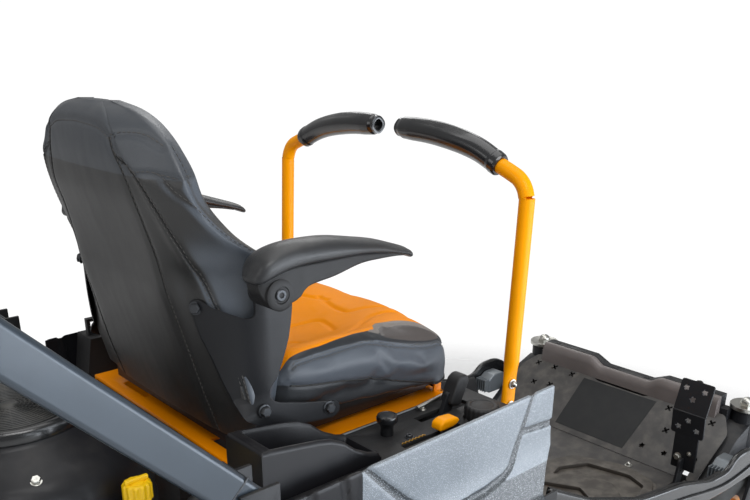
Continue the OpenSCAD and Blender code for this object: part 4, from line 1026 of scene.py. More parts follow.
def sliced(shape, spots):
    """Cuts a shape's faces along planes of constant X, so that it can be bent."""
    mesh = bmesh.new()
    for q in shape[0]:
        mesh.verts.new(q)
    mesh.verts.ensure_lookup_table()
    for face in shape[1]:
        mesh.faces.new([mesh.verts[i] for i in face])
    for x in spots:
        bmesh.ops.bisect_plane(mesh, geom=[*mesh.verts, *mesh.edges, *mesh.faces], dist=1e-4,
                               plane_co=(x, 0, 0), plane_no=(1, 0, 0))
    mesh.verts.index_update()
    out = np.array([v.co[:] for v in mesh.verts]), [[v.index for v in f.verts] for f in mesh.faces]
    mesh.free()
    return out


BEND_X, BEND = -425, 69  # where the bend starts, and how far inwards it takes the rear bolt


def bracket_plate():
    """The cut sheet, its rear top end bent in towards the seat back."""
    cut, faces = sliced(wall_xz(softened(FLAT, 5, 3), -241, -236.5, bevel=0.8), np.arange(-530, -420, 7))
    rearward = np.clip((BEND_X - cut[:, 0]) / 102, 0, 1.1) ** 1.6
    upward = np.clip((cut[:, 2] - 750) / 45, 0, 1)
    return cut + (rearward * upward)[:, None] * BEND * np.array([0.55, 1, -0.353]), faces


bracket = bracket_plate()
fasteners = joined(bolt((-441, -241, 771), (0, -1, 0), 15, "hex"),
                   bolt((-335, -241, 745), (0, -1, 0), 15, "hex"),
                   bolt((-490, -171, 904), (-0.75, -0.65, 0.15), 14, "hex"))
build("seat_side_brackets", both(bracket), BLACK, "seat", replaces=["seat_brackets"])
build("seat_side_bolts", both(fasteners), DARK_STEEL, "seat")
print("bracket points:", len(bracket[0]))

# %% [markdown]
# ## Steering levers
# A lever is a bent tube that is pressed flat at its bolted foot. A ring is carried along its path, and the
# foot is squeezed afterwards, as in the workshop.

# %% Lever tube
LEVER = np.array([(-18, -299, 640), (-18, -299, 668), (-14, -298.8, 745), (-2.6, -298, 980),
                  (-1.8, -297, 1000), (-1.2, -291, 1016), (-1, -280, 1027.5), (-1, -265, 1034.5),
                  (-1, -244, 1042.5), (-1, -225, 1050)], float)
GRIP_LINE = np.array([(-1, -243.7, 1042.6), (-1, -198, 1062), (-3, -150, 1074), (-4, -95, 1081),
                      (-5, -27, 1083)], float)


FOOT_TOP = 752


def pressed(shape):
    """Flattens the tube's foot, where it is bolted on."""
    q = shape[0].copy()
    t = smooth01((FOOT_TOP - q[:, 2]) / 34)
    middle = np.interp(q[:, 2], LEVER[:4, 2], LEVER[:4, 0])
    q[:, 1] = LEVER[0, 1] + (q[:, 1] - LEVER[0, 1]) * (1 - 0.5 * t)
    q[:, 0] = middle + (q[:, 0] - middle) * (1 + 0.25 * t)
    return q, shape[1]


print("lever tube bends through", len(LEVER), "points")

# %% [markdown]
# ## Hand grips
# The grip is a moulded sleeve on the lever's end. It is a tube along a bent line, whose radius, squareness
# and thumb recess are functions of the distance along it.

# %% Hand grip
def grip():
    """Moulded grip: rounded square section, a thumb recess on its top, and a hollow end."""
    samples, around = 120, 48
    line = curve(GRIP_LINE, samples)
    s = np.r_[0, np.cumsum(np.linalg.norm(np.diff(line, axis=0), axis=1))]
    r = np.interp(s, [0, 3, 14, 16, 30, 120, 190, 212, 217],
                  [15.4, 17.5, 18.2, 17.2, 17.4, 18.6, 18.0, 16.8, 14.5])
    rings = tube(line, r, count=around)[0].reshape(samples, around, 3)
    mid = line[:, None, :]
    out = rings - mid
    unit = out / np.linalg.norm(out, axis=-1)[..., None]
    square = 1 + 0.035 * np.cos(4 * np.arctan2(unit[..., 2], unit[..., 0]))
    along = s[:, None] / s[-1]
    side = np.arctan2(unit[..., 2], -unit[..., 0])
    thumb = np.exp(-(((along - 0.55) / 0.22) ** 4) - (((side - 1.1) / 0.42) ** 4))
    rings = mid + out * square[..., None] - unit * (1.7 * thumb)[..., None]
    end, outwards = line[-1], (line[-1] - line[-3]) / np.linalg.norm(line[-1] - line[-3])
    inner = [end + (rings[-1] - end) * k + outwards * d for k, d in ((0.8, 0.6), (0.62, 0), (0.6, -14),
                                                                     (0.01, -14))]
    return grid(np.concatenate([rings, inner]))


lever = pressed(tube(LEVER, 12, 28, samples=120))
lever_bolts = joined(*[bolt((x, -305.2, z), (0, -1, 0), 13, "dome") for x, z in ((-16, 712), (-17.5, 675))])
hand = grip()
for side, flip in (("right", lambda s: s), ("left", mirrored)):
    build(side + "_lever_bar", flip(lever), LEVER_PAINT, side + "_lever", replaces=[side + "_lever_tube"])
    build(side + "_hand_grip", flip(hand), GRIP, side + "_lever", crease=50, replaces=[side + "_lever_grip"])
    build(side + "_lever_bolts", flip(lever_bolts), ZINC, side + "_lever")
print("levers done")

# %% [markdown]
# ## Body panels
# The panels are fine grids with an inner and an outer face. Pressed channels, rims and lips are then a
# matter of moving points by their distance to a line, with no edge loops to plan.

# %% Tools for panels
def turned(shape, at, degrees, axis="Y"):
    """Shape turned about a line through at."""
    turn = np.array(Matrix.Rotation(math.radians(degrees), 3, axis))
    return np.asarray(at, float) + (shape[0] - at) @ turn.T, shape[1]


def moved(shape, by):
    """The shape shifted by a vector."""
    return shape[0] + np.asarray(by, float), shape[1]


def sheeted(outer, inner):
    """Closed sheet from two grids of points of one size, (rows, columns, 3)."""
    rows, cols = outer.shape[:2]
    n = rows * cols
    index = np.arange(n).reshape(rows, cols)
    a, b, c, d = index[:-1, :-1], index[:-1, 1:], index[1:, 1:], index[1:, :-1]
    faces = np.stack([a, b, c, d], -1).reshape(-1, 4).tolist()
    faces += (np.stack([a, d, c, b], -1).reshape(-1, 4) + n).tolist()
    edge = np.r_[index[0, :], index[1:, -1], index[-1, -2::-1], index[-2:0:-1, 0]]
    faces += [[int(p), int(p) + n, int(q) + n, int(q)] for p, q in zip(edge, np.roll(edge, -1))]
    return np.vstack([outer.reshape(-1, 3), inner.reshape(-1, 3)]), faces


def to_path(u, v, path):
    """Distance in a plane from points (u, v) to a polyline."""
    best = np.full(np.shape(u), 1e9)
    for (ax, ay), (bx, by) in zip(path[:-1], path[1:]):
        dx, dy = bx - ax, by - ay
        t = np.clip(((u - ax) * dx + (v - ay) * dy) / (dx * dx + dy * dy), 0, 1)
        best = np.minimum(best, np.hypot(u - ax - t * dx, v - ay - t * dy))
    return best


print("panel tools ready")

# %% [markdown]
# ## Fenders
# The fenders are formed sheets with pressed channels, and the panel's colour is darker in the channels and
# on its lower part. The section is carried along X, and each point moves along the section's normal by a
# depth that falls off beside the channels' lines.

# %% Fenders
SECTION = np.array([(372.6, 724), (375.2, 723), (376, 719), (376, 690), (376, 640), (383, 604), (393, 575),
                    (400, 560), (420, 553), (480, 549.5), (550, 547), (570, 541), (578, 530), (580, 521)],
                   float)
FENDER_CHANNELS = [[(-50, 728), (-78, 664), (-98, 622), (-112, 613), (-150, 606), (-232, 600)],
                   [(-386, 722), (-352, 686), (-312, 645), (-282, 622), (-232, 600)], [(-74, 672), (4, 665)]]


def fender(x0, x1, channels):
    """Sheet panel from x0 to x1, with its channels pressed in. Also gives the distance into the darker zone.
    """
    xs = np.linspace(x0, x1, int((x1 - x0) / 3.2))
    cut = curve(SECTION, 130)
    x, s = np.meshgrid(xs, np.arange(len(cut)), indexing="ij")
    y, z = cut[s][..., 0], cut[s][..., 1]
    z = z + smooth01((z - 560) / 160) * (0.023 * (x + 388) - 5)
    t = np.gradient(cut, axis=0)
    n = np.column_stack([-t[:, 1], t[:, 0]])
    n *= (np.sign(n[:, :1] + n[:, 1:]) / np.linalg.norm(n, axis=1)[:, None])
    near = np.full_like(x, 1e9)
    for path in channels:
        near = np.minimum(near, to_path(x, z, path))
    press = 3.0 * (1 - smooth01((near - 3.5) / 4))
    press += 1.2 * (1 - smooth01((np.minimum(x - x0, x1 - x) - 2) / 5)) * (z > 560)
    zone = np.maximum(np.interp(z, [610, 724], [8, 3.5]) - near, 606 - z)
    x = x0 + (x - x0) * (1 - 0.55 * np.clip(628 - z, 0, 80) / (x1 - x0))
    outer = np.stack([x, -(y - n[s][..., 0] * press), z - n[s][..., 1] * press], -1)
    inner = np.stack([x, -(y - n[s][..., 0] * (press + 3.5)), z - n[s][..., 1] * (press + 3.5)], -1)
    inner[:, 0, 2] = outer[:, 0, 2]
    return flipped(sheeted(outer, inner)), np.r_[zone.ravel(), zone.ravel()]


front, zone = fender(-388, -1, FENDER_CHANNELS)
rear, _ = fender(-496, -389, [[(-470, 735), (-462, 640), (-440, 600)], [(-420, 735), (-412, 655)]])
flange = joined(rounded((-45, -399, 440), (-2, -395, 556), 1.5),
                rounded((-45, -399, 440), (-2, -381, 444), 1.5))
for side, flip in (("right", lambda s: s), ("left", mirrored)):
    made = build(side + "_fender_panel", flip(front), PANEL, "chassis", replaces=[side + "_fender"])
    marked(made, "smooth", zone)
    build(side + "_fender_rear", flip(rear), SHROUD, "chassis")
    build(side + "_fender_flange", flip(flange), PLASTIC, "chassis")
print("fender points:", len(front[0]))

# %% [markdown]
# ## Roll bar
# Two arms and a crossbar of square tube lie folded back on pins above the fenders. The bar is drawn upright
# and then turned by the angle of the fold, so that its sizes read as they would on a drawing.

# %% Roll bar
LEAN = -44
PIVOT = (-565, 0, 748)
TOP = PIVOT[2] + 880
arm = turned(rounded((-587, -409.5, 726), (-543, -360.5, TOP), 7, 4), PIVOT, LEAN)
cross = turned(rounded((-587, -385, TOP - 49), (-543, 385, TOP), 7, 4), PIVOT, LEAN)
seam = turned(rounded((-588, -410.2, 786), (-542, -359.8, 789), 1), PIVOT, LEAN)
build("roll_bar_tube", joined(both(arm), cross), BEAM, "roll_bar", replaces=["roll_bar"])
build("roll_bar_seams", both(seam), DARK_STEEL, "roll_bar")
pins = joined(bolt((-565, -417.5, 748), (0, -1, 0), 22), bolt((-565, -352.5, 748), (0, 1, 0), 22))
build("roll_bar_bolts", both(pins), ZINC, "chassis")
print("roll bar turned by", LEAN, "degrees")

# %% [markdown]
# ## Storage box
# An open moulded tray stands beside the seat. One grid of heights makes it: the rim's line drops towards
# the front, a lip stands on the rim, and the pocket falls away inside it.

# %% Storage box
def tray(x0, x1, y0, y1, top, floor, base, rims, wall=9, edge=5):
    """Open tray: top(x) is the height of its rim, floor(x) that of its pocket and base that of its foot. rims
    are the rim's widths at the rear, the front and the sides."""
    xs, ys = np.linspace(x0, x1, int((x1 - x0) / 2.2)), np.linspace(y0, y1, int((y1 - y0) / 2.2))
    x, y = np.meshgrid(xs, ys, indexing="ij")
    side = np.minimum(y - y0, y1 - y)
    inside = np.minimum.reduce([x - x0 - rims[0], x1 - x - rims[1], side - rims[2]])
    z = top(x)
    outer = np.minimum.reduce([x - x0, x1 - x, side])
    z = z - edge + np.sqrt(np.maximum(edge**2 - np.clip(edge - outer, 0, edge) ** 2, 0))
    lip = 1.4 * np.exp(-(((inside + 3) / 3) ** 2))
    z = z + lip - smooth01(inside / wall) * (z - floor(x))
    up = np.stack([x, y, z], -1)
    down = np.stack([x, y, np.full_like(z, base)], -1)
    return sheeted(up, down)


rim_line = lambda x: np.interp(x, [-517, -432, -412, -392, -372, -350, -330],
                               [775, 762, 757, 747, 730, 718, 712])
pocket = lambda x: np.interp(x, [-517, -400, -360, -330], [655, 656, 668, 705])
box = tray(-517, -331, -346, -268, rim_line, pocket, 646, (17, 3, 8))
skirt = joined(rounded((-517, -372, 640), (-330, -246, 645.8), 1.5),
               rounded((-500, -371, 646), (-331, -346.4, 706), 6))
build("storage_box_tray", box, SHROUD, "chassis", crease=50, replaces=["storage_box"])
build("storage_box_base", skirt, SHROUD, "chassis")
print("storage box points:", len(box[0]))

# %% [markdown]
# ## Controls on the consoles
# Screws, a pale strip and a row of detents sit on the right console. They are small, so a few turned and
# bent shapes are enough, but the eye misses them when they are left out. The pale strip along the console's
# inner edge is a painted highlight: it stands in for the light that the edge catches.

# %% Screws, lip and detents
CONSOLE_TOP = 700
fittings = joined(bolt((-252, -317, CONSOLE_TOP), (0, 0, 1), 11, "socket"),
                  bolt((-92, -262, CONSOLE_TOP), (0, 0, 1), 10, "dome"),
                  bolt((-92, -360, CONSOLE_TOP), (0, 0, 1), 10, "dome"))
build("console_screws", fittings, DARK_STEEL, "chassis")
# A pale strip on the console's inner edge: a painted highlight for the light that the edge catches.
lip = rounded((-326, -254, 700.2), (-66, -250.5, 702.2), 0.8)
build("console_lip", lip, EDGE_HIGHLIGHT, "chassis")
teeth = [(x, -327.6 + (1.5 if k % 2 else -1.5), 701.2) for k, x in enumerate(np.arange(-277, -231, 3.2))]
build("throttle_detents", tube(teeth, 1.0, 6), BRASS, "chassis")
print("detents:", len(teeth))

# %% [markdown]
# ## Pull knob and throttle
# The knob is turned. The throttle is a flat strip on a hub with a small moulded knob, and rides on its own
# body.

# %% Pull knob and throttle
head = [(0, 0), (9, 0), (9.4, 14), (9, 20), (9.6, 25), (13, 29), (15.2, 31.5), (15.4, 37), (14.2, 40),
        (11.5, 41.2), (10.5, 40.4), (0, 40.4)]
build("pull_knob", lathe([(r, 690 + h) for r, h in head], (-270, -290, 0), count=40), GLOSS, "knob",
      replaces=["round_knob"])
lever_strip = wall_xz([(-231, 640), (-219, 640), (-190, 708), (-202, 708)], -335.5, -332.5, bevel=0.5)
hub = lathe([(3.1, -1.5), (7, -1.5), (7, 1.5), (3.1, 1.5)], (-225, -334, 640), (0, 1, 0), 24, wrap=True)
build("throttle_strip", joined(lever_strip, hub), DARK_STEEL, "throttle", replaces=["throttle_lever"])
knob_side = [(-218, 707), (-213, 705), (-190, 706), (-181, 709), (-177, 714), (-183, 719), (-206, 721),
             (-216, 717)]
build("throttle_knob", wall_xz(softened(knob_side, 4), -344, -324, bevel=3), LEVER_PAINT, "throttle",
      crease=60)
print("knob and throttle done")

# %% [markdown]
# ## Brake lever
# A flat arm with a moulded head sets the parking brake, and a rod leads away from it under the console.

# %% Brake lever
arm_side = [(-175, 650), (-173, 642), (-157, 642), (-155, 650), (-126, 724), (-146, 728)]
head_side = [(-148, 711), (-127, 703), (-108, 741), (-111, 750), (-121, 753), (-133, 747)]
build("brake_arm", wall_xz(softened(arm_side, 5), -289, -281, bevel=1.2), BLACK, "brake",
      replaces=["brake_lever"])
build("brake_head", wall_xz(softened(head_side, 6), -297, -273, bevel=3), PLASTIC, "brake", crease=60)
rod = tube([(-184, -262, 706), (-150, -262, 709), (-120, -262, 712)], 3.4, 14)
build("brake_rod", joined(rod, bolt((-172, -262, CONSOLE_TOP), (0, 0, 1), 9, "dome")), ZINC, "chassis")
print("brake lever done")

# %% [markdown]
# ## Caps
# The fuel and oil caps have flutes for the fingers. A flute is a cosine with its corners sharpened, taken
# off the radius of a turned profile.

# %% Fluted caps, key and cup ring
def fluted(radius, low, high, at, flutes=24, deep=1.3, crown=3):
    """Round cap with flutes down its side and a slightly domed top."""
    a = np.linspace(0, 2 * np.pi, flutes * 8, endpoint=False)
    wave = 0.5 + 0.5 * np.sign(np.cos(flutes * a)) * np.abs(np.cos(flutes * a)) ** 0.5
    rings = []
    for r, z, amount in ((0.02, low, 0), (radius - 2, low, 0), (radius, low + 2, 1), (radius, high - 4, 1),
                         (radius - 2, high - 1, 0.4), (radius - 5, high, 0), (radius - 8, high - 0.6, 0),
                         (radius - 9, high - 1.4, 0), (0.5 * radius, high + 0.5 * crown - 2, 0),
                         (0.02, high + crown - 2, 0)):
        q = r - deep * amount * (1 - wave)
        rings.append(np.column_stack([at[0] + q * np.cos(a), at[1] + q * np.sin(a), np.full(len(a), z)]))
    return grid(rings)


build("fuel_filler_cap", fluted(26, 701.3, 722, (-128, -341), 20), PLASTIC, "fuel_cap", crease=50,
      replaces=["fuel_cap"])
oil = joined(fluted(19, 676.6, 702, (-600, -184), 12, 2.4), rounded((-616, -187, 701), (-584, -181, 708), 2))
build("oil_filler_cap", oil, YELLOW, "oil_cap", crease=50, replaces=["oil_cap"])
key = joined(rounded((-152, 327.5, 708), (-128, 332.5, 730), 2.2),
             lathe([(0, 684), (2.9, 684), (2.9, 709), (0, 709)], (-140, 330, 0)))
build("key_blade", key, GLOSS, "key", replaces=["ignition_key"])
cup_ring = lathe([(38, 699.5), (42, 699.5), (43, 702), (40, 703.5), (38, 702)], (-250, 310, 0), count=48,
                 wrap=True)
build("cup_holder_ring", cup_ring, GLOSS, "chassis")
print("body panels done")

# %% [markdown]
# ## Engine
# The engine shows its blower housing, a turned plastic cover with three pressed creases, and a ringed
# screen that spins with the crankshaft. A lathe gives the round, and the creases push its upper part
# outwards near three angles.

# %% Blower housing and screen
ENGINE_X = -683
C = (ENGINE_X, 0, 0)
housing = [(96, 562), (172, 562), (176, 566), (176, 600), (178, 604), (178, 612), (175, 616), (174, 684),
           (171, 698), (165, 712), (155, 725), (140, 736), (122, 746), (113, 752), (108.5, 758), (107.5, 764),
           (104, 765), (102, 760), (104, 752), (120, 740), (138, 730), (151, 719), (160, 706), (165, 690),
           (168, 680), (168, 566), (96, 566)]
shell = lathe(housing, C, count=120, wrap=True)
spin = np.arctan2(shell[0][:, 1], shell[0][:, 0] - ENGINE_X)
tall = smooth01((shell[0][:, 2] - 600) / 90)
crease = sum(np.exp(-(((spin - place) / 0.09) ** 2)) for place in (-2.55, 0.6, -0.35))
radial = np.column_stack([np.cos(spin), np.sin(spin), np.zeros_like(spin)])
shell = (shell[0] + radial * (4.0 * crease * tall)[:, None], shell[1])
build("blower_housing", shell, SHROUD, "chassis", crease=50, replaces=["engine_shroud"])
lip_ring = [(101, 758), (108, 757), (110, 762), (109, 772), (105.5, 777.5), (100, 778), (96, 774), (84, 771),
            (82.6, 767), (84, 764), (96, 764)]
build("blower_lip", lathe(lip_ring, C, count=120, wrap=True), GLOSS, "chassis", crease=60)
rings = [lathe([(r - 1.2, 767.6), (r + 1.2, 767.6), (r + 1.2, 771), (r, 772), (r - 1.2, 771)], C, count=96,
               wrap=True) for r in np.arange(16, 81, 5.4)]
hub = lathe([(0, 767), (13, 767), (13, 771), (10, 773.5), (0, 773.5)], C, count=40)
spoke = rounded((-671, -1.1, 766.5), (-602, 1.1, 770.5), 0.5, 1)
spokes = [turned(spoke, C, a, "Z") for a in np.arange(0, 360, 15)]
build("cooling_screen", joined(hub, *rings, *spokes), SCREEN, "engine_rotor", crease=50,
      replaces=["fan_screen"])
print("screen rings and spokes:", len(rings), len(spokes))

# %% [markdown]
# ## Hose, bolts and blank label places
# The labels are left blank. A label's place is a thin patch at the housing's own radius, and the hose and
# its clamps follow a bent path between tank and engine.

# %% Label places, hose and fittings
def on_housing(a0, a1, z0, z1, r=174.9):
    """Thin patch lying on the housing's side."""
    a, z = np.meshgrid(np.radians(np.linspace(a0, a1, 24)), np.linspace(z0, z1, 6), indexing="ij")
    skin = lambda q: np.stack([ENGINE_X + q * np.cos(a), q * np.sin(a), z], -1)
    return sheeted(skin(r + 0.9), skin(r))


build("housing_label_place", joined(on_housing(-112, -84, 626, 676), on_housing(-140, -122, 626, 672)),
      PALE_LABEL, "chassis")
top_bolts = [bolt((ENGINE_X + 150 * math.cos(a), 150 * math.sin(a), 727),
                  (0.45 * math.cos(a), 0.45 * math.sin(a), 0.9), 12)
             for a in np.radians([20, 80, 140, 200, 260, 320])]
build("housing_bolts", joined(*top_bolts), ZINC, "chassis")
hose = tube([(-560, -150, 560), (-540, -168, 610), (-520, -180, 640), (-492, -176, 634), (-486, -150, 590),
             (-500, -120, 540)], 9, 16, samples=60)
clamps = joined(*[lathe([(9.2, -4), (11, -4), (11, 4), (9.2, 4)], at, axis, 24, wrap=True)
                  for at, axis in (((-541, -167, 608), (0.4, -0.4, 0.9)),
                                   ((-488, -165, 618), (0.3, 0.5, -0.8)))])
build("fuel_hose", hose, RUBBER, "chassis")
build("hose_clamps", clamps, ZINC, "chassis")
tube_stay = joined(lathe([(14.3, 655), (17, 655), (17, 664), (14.3, 664)], (-600, -184, 0), wrap=True),
                   rounded((-640, -160, 655), (-590, -140, 663), 2))
build("filler_tube_stay", tube_stay, ZINC, "chassis")
print("engine done")

# %% [markdown]
# ## Toe board
# The toe board is a sloping sheet with drain holes shaped like crosses and flowers, a slot for the pedal and
# a rolled upper edge. A dark sheet behind it is painted shade, standing in for the shade seen through the
# holes.
# Outline and holes are drawn in the board's own plane and filled together.

# %% Toe board
def flower(u, v, r=6.2, n=60):
    """Five-lobed hole: a circle whose radius is r (1 + 0.2 cos 5a)."""
    a = np.linspace(0, 2 * np.pi, n, endpoint=False)
    q = r * (1 + 0.2 * np.cos(5 * a))
    return np.column_stack([u + q * np.cos(a), v + q * np.sin(a)])


def cross_hole(u, v, arm=9.0, half=2.2):
    """Cross of two bars, turned by 45 degrees."""
    k = np.array([(half, half), (half, arm), (-half, arm), (-half, half), (-arm, half), (-arm, -half),
                  (-half, -half), (-half, -arm), (half, -arm), (half, -half), (arm, -half), (arm, half)],
                 float)
    c = math.sqrt(0.5)
    return k @ np.array([(c, c), (-c, c)]) + (u, v)


print("hole outlines ready")

# %% [markdown]
# ## Sheet, shade sheet and crown of the toe board
# The board slopes at one angle from its foot, so its parts are drawn up the slope and off it. The crown is
# a rounded section carried across, and it rises beside the middle. Its paint is lighter than the board's:
# a painted highlight on its steep face, which the lamps leave dark.

# %% Toe board sheet and crown
SLOPE = math.radians(37)
BOARD_FOOT = (675, 0, 268)
along, out = np.array([math.cos(SLOPE), 0, math.sin(SLOPE)]), np.array([-math.sin(SLOPE), 0, math.cos(SLOPE)])
board = softened([(-300, 2), (-304, 150), (-276, 196), (-112, 196), (-70, 174), (70, 174), (112, 196),
                  (276, 196), (304, 150), (300, 2), (-262, 2), (-262, 66), (-276, 66), (-276, 2)], 9)
crosses = [cross_hole(u, v) for u, v in ((260, 169), (206, 171), (146, 167), (235, 108), (186, 116),
                                         (-145, 165), (-170, 105), (-258, 164))]
holes = crosses + [flower(-139, 45), flower(-198, 46)]
toe = plate(board * [-1, 1], 4, [h * [-1, 1] for h in holes], 0.7, at=BOARD_FOOT, x=(0, -1, 0), y=along)


def on_board(u, v, h):
    """Place u to the left, v up the slope and h off it."""
    return np.array([BOARD_FOOT[0], u, BOARD_FOOT[2]]) + along * v + out * h


# A dark sheet behind the board, seen through its holes: painted shade, where there is only shade.
behind = plate(softened([(-298, 30), (-296, 148), (-268, 184), (268, 184), (296, 148), (298, 30)], 9), 2,
               bevel=0.4, at=on_board(0, 0, -9), x=(0, -1, 0), y=along)
crown = []
for y in np.linspace(-256, 256, 65):
    t = 412 + 18 * float(smooth01((abs(y) - 65) / 40))
    crown.append([(x, y, z) for x, z in ((836.8, 384), (836.8, t - 0.5), (834, t + 0.6), (829, t - 0.5),
                                         (824, t - 4), (820, t - 11), (817.5, t - 20), (815.5, 379))])
crown = grid(crown)
label_cut = np.array([on_board(u, v, 4.05) for u, v in ((107, 169), (-108, 171), (-100, 18), (102, 18))])
label = (np.vstack([label_cut + out * 0.6, label_cut]),
         [[0, 3, 2, 1], [4, 5, 6, 7], [0, 1, 5, 4], [1, 2, 6, 5], [2, 3, 7, 6], [3, 0, 4, 7]])
build("toe_board_sheet", toe, PAN, "chassis", replaces=["toe_board"])
# The dark sheet behind the board is painted shade.
build("toe_board_backing", behind, RUBBER, "chassis")
# The crown's lighter colour is a painted highlight.
build("toe_board_crown", crown, CROWN_HIGHLIGHT, "chassis", crease=50)
build("toe_board_label_place", label, LABEL, "chassis")
print("holes in the toe board:", len(holes))

# %% [markdown]
# ## Floor mats
# Rubber mats lie on the floor pan, with chevron grooves for grip. The grooves go right through an upper
# layer, and a thinner layer closes them from below.

# %% Floor mats
mat = softened([(60, -286), (520, -286), (598, -240), (612, -150), (566, -44), (480, -16), (60, -16)], 22, 6)
grooves = [softened(np.array([(0, -46), (38, -46), (96, -150), (38, -256), (0, -256), (54, -150)], float)
                    + (x, 0), 5) for x in (84, 172, 260, 348)]
grooves.append(softened([(452, -70), (490, -60), (554, -92), (578, -190), (558, -240), (500, -256),
                         (446, -256), (488, -226), (516, -186), (500, -118)], 6))
low_mat = plate(softened([(52, -294), (524, -294), (606, -246), (622, -150), (574, -38), (484, -8), (52, -8)],
                         24, 6), 4, [], 1.5, at=(0, 0, 272.2))
build("floor_mats", both(joined(plate(mat, 11, grooves, 3, at=(0, 0, 275)), low_mat)), TREAD_PAD, "chassis")
build("floor_bolts", both(joined(bolt((640, -150, 272), (0, 0, 1), 14, "dome"),
                                 bolt((30, -150, 272), (0, 0, 1), 14, "dome"))), ZINC, "chassis")
print("grooves on a mat:", len(grooves))

# %% [markdown]
# ## Deck pedal
# Two bent plates with flower-shaped holes hang on a strap that goes through the slot. They ride on the
# pedal's body. A dark sheet ahead of the slot is painted shade, for the shade seen through the slot, and it
# stays with the frame.

# %% Pedal
upper_dir, lower_dir = np.array([26, 0, 78]) / 82.2, np.array([-4, 0, 56]) / 56.14
upper = plate(softened([(-39, 0), (39, 0), (39, 76), (-39, 76)], 7), 5,
              [flower(-20, 57), flower(2, 34), flower(24, 57)], 0.8, at=(660.5, -269, 440), x=(0, 1, 0),
              y=upper_dir)
lower = plate(softened([(-39, 0), (39, 0), (39, 57), (-39, 57)], 7), 5,
              [flower(-22, 18), flower(0, 38), flower(22, 18)], 0.8, at=(664, -269, 386), x=(0, 1, 0),
              y=lower_dir)
bend = tube([(662.6, -308, 441), (662.6, -230, 441)], 2.9, 16)
strap = rounded((664, -298, 302), (669.5, -241, 398), 1.2)
stem = wall_xz(softened([(628, 228), (652, 228), (670, 292), (670, 330), (648, 330), (632, 250)], 8), -272,
               -266, [circle(640, 240, 6.2), circle(655, 300, 4)], 0.9)
build("pedal_plates", joined(upper, lower, bend, strap, stem), BLACK, "pedal", crease=24,
      replaces=["deck_pedal"])
# A dark sheet ahead of the pedal slot: painted shade, seen through the slot where there is only shade.
slot_shade_sheet = rounded((692, -306, 206), (694, -232, 274), 0.8)
stop = lathe([(0, 0), (9, 0), (9, 8), (6, 10), (0, 10)], (683, -269, 507), (0.95, 0, -0.32), 28)
pedal_pins = joined(bolt((640, -276.5, 240), (0, -1, 0), 20), bolt((663.8, -256, 330), (-1, 0, 0), 15),
                    bolt((663.8, -282, 345), (-1, 0, 0), 9, "socket"))
build("pedal_slot_shield", slot_shade_sheet, RUBBER, "chassis")
build("pedal_stop", stop, RUBBER, "pedal")
build("pedal_bolts", pedal_pins, ZINC, "pedal")
print("pedal done")

# %% [markdown]
# ## Side guards
# Curved plates close the footwell's sides, with a moulding inside them that falls to the floor. The plate
# is a softened outline, and the moulding is a section that shrinks along its length.

# %% Side guards and mouldings
guard = [(10, 545), (150, 468), (311, 409), (463, 383), (586, 346), (662, 341), (694, 367), (753, 369),
         (800, 345), (815, 315), (806, 290), (690, 290), (586, 296), (463, 318), (311, 345), (150, 395),
         (10, 440)]
legs = joined(rounded((470, -366, 236), (520, -362, 345), 1.2),
              rounded((470, -366.5, 236), (520, -325.5, 262), 2),
              rounded((12, -366, 236), (52, -362, 440), 1.2),
              rounded((12, -366.5, 236), (52, -325.5, 262), 2))
FLOOR_Z = 270


def moulding_section(x, top):
    """The side moulding's skin at x: from the guard's inner face over its top and down to the floor."""
    rise = top - FLOOR_Z
    line = curve([(-366.5, top), (-361, top + 0.5), (-355, top - 5), (-348, top - 0.35 * rise),
                  (-339, FLOOR_Z + 0.2 * rise), (-334.5, FLOOR_Z + 7), (-333.5, FLOOR_Z)], 24)
    return [(x, *q) for q in line]


xs = np.linspace(30, 655, 90)
tops = np.interp(xs, [10, 150, 311, 463, 586, 662], [541, 464, 405, 379, 342, 337])
inner = np.array([moulding_section(x, top) for x, top in zip(xs, tops)])
build("footwell_side_mouldings", both(sheeted(inner, inner - [0, 2.2, 0.8])), PLASTIC, "chassis")
rib = tube([(24, -381.5, 486), (150, -382, 432), (311, -382, 377), (463, -382, 350), (640, -382, 316),
            (786, -381.5, 322)], 3.2, 12, samples=60)
build("side_guard_panels", both(joined(wall_xz(softened(guard, 22, 6), -380, -366, bevel=5.5), legs, rib)),
      GLOSS, "chassis", crease=50, replaces=["side_guards"])
print("guard outline points:", len(guard))

# %% [markdown]
# ## Lights
# Each light is a small ribbed housing on the side guard with a clear lens at its front.

# %% Lights
shell = wall_xz(softened([(680, 292), (752, 292), (752, 330), (736, 344), (700, 344), (680, 330)], 6), -365,
                -327.5, bevel=3)
fins = [rounded((664, y - 1.5, 298), (684, y + 1.5, 334), 1.2) for y in (-331, -338.5, -346, -353.5, -361)]
lens = rounded((751, -361, 298), (756, -331, 330), 2.2)
build("light_housings", both(joined(shell, *fins)), CAST, "chassis", crease=50, replaces=["headlights"])
build("light_lenses", both(lens), LENS, "chassis")
print("fins on a light:", len(fins))

# %% [markdown]
# ## Front beam
# Four small nubs stand on the front beam, and a washer with a dome nut caps each caster's swivel.

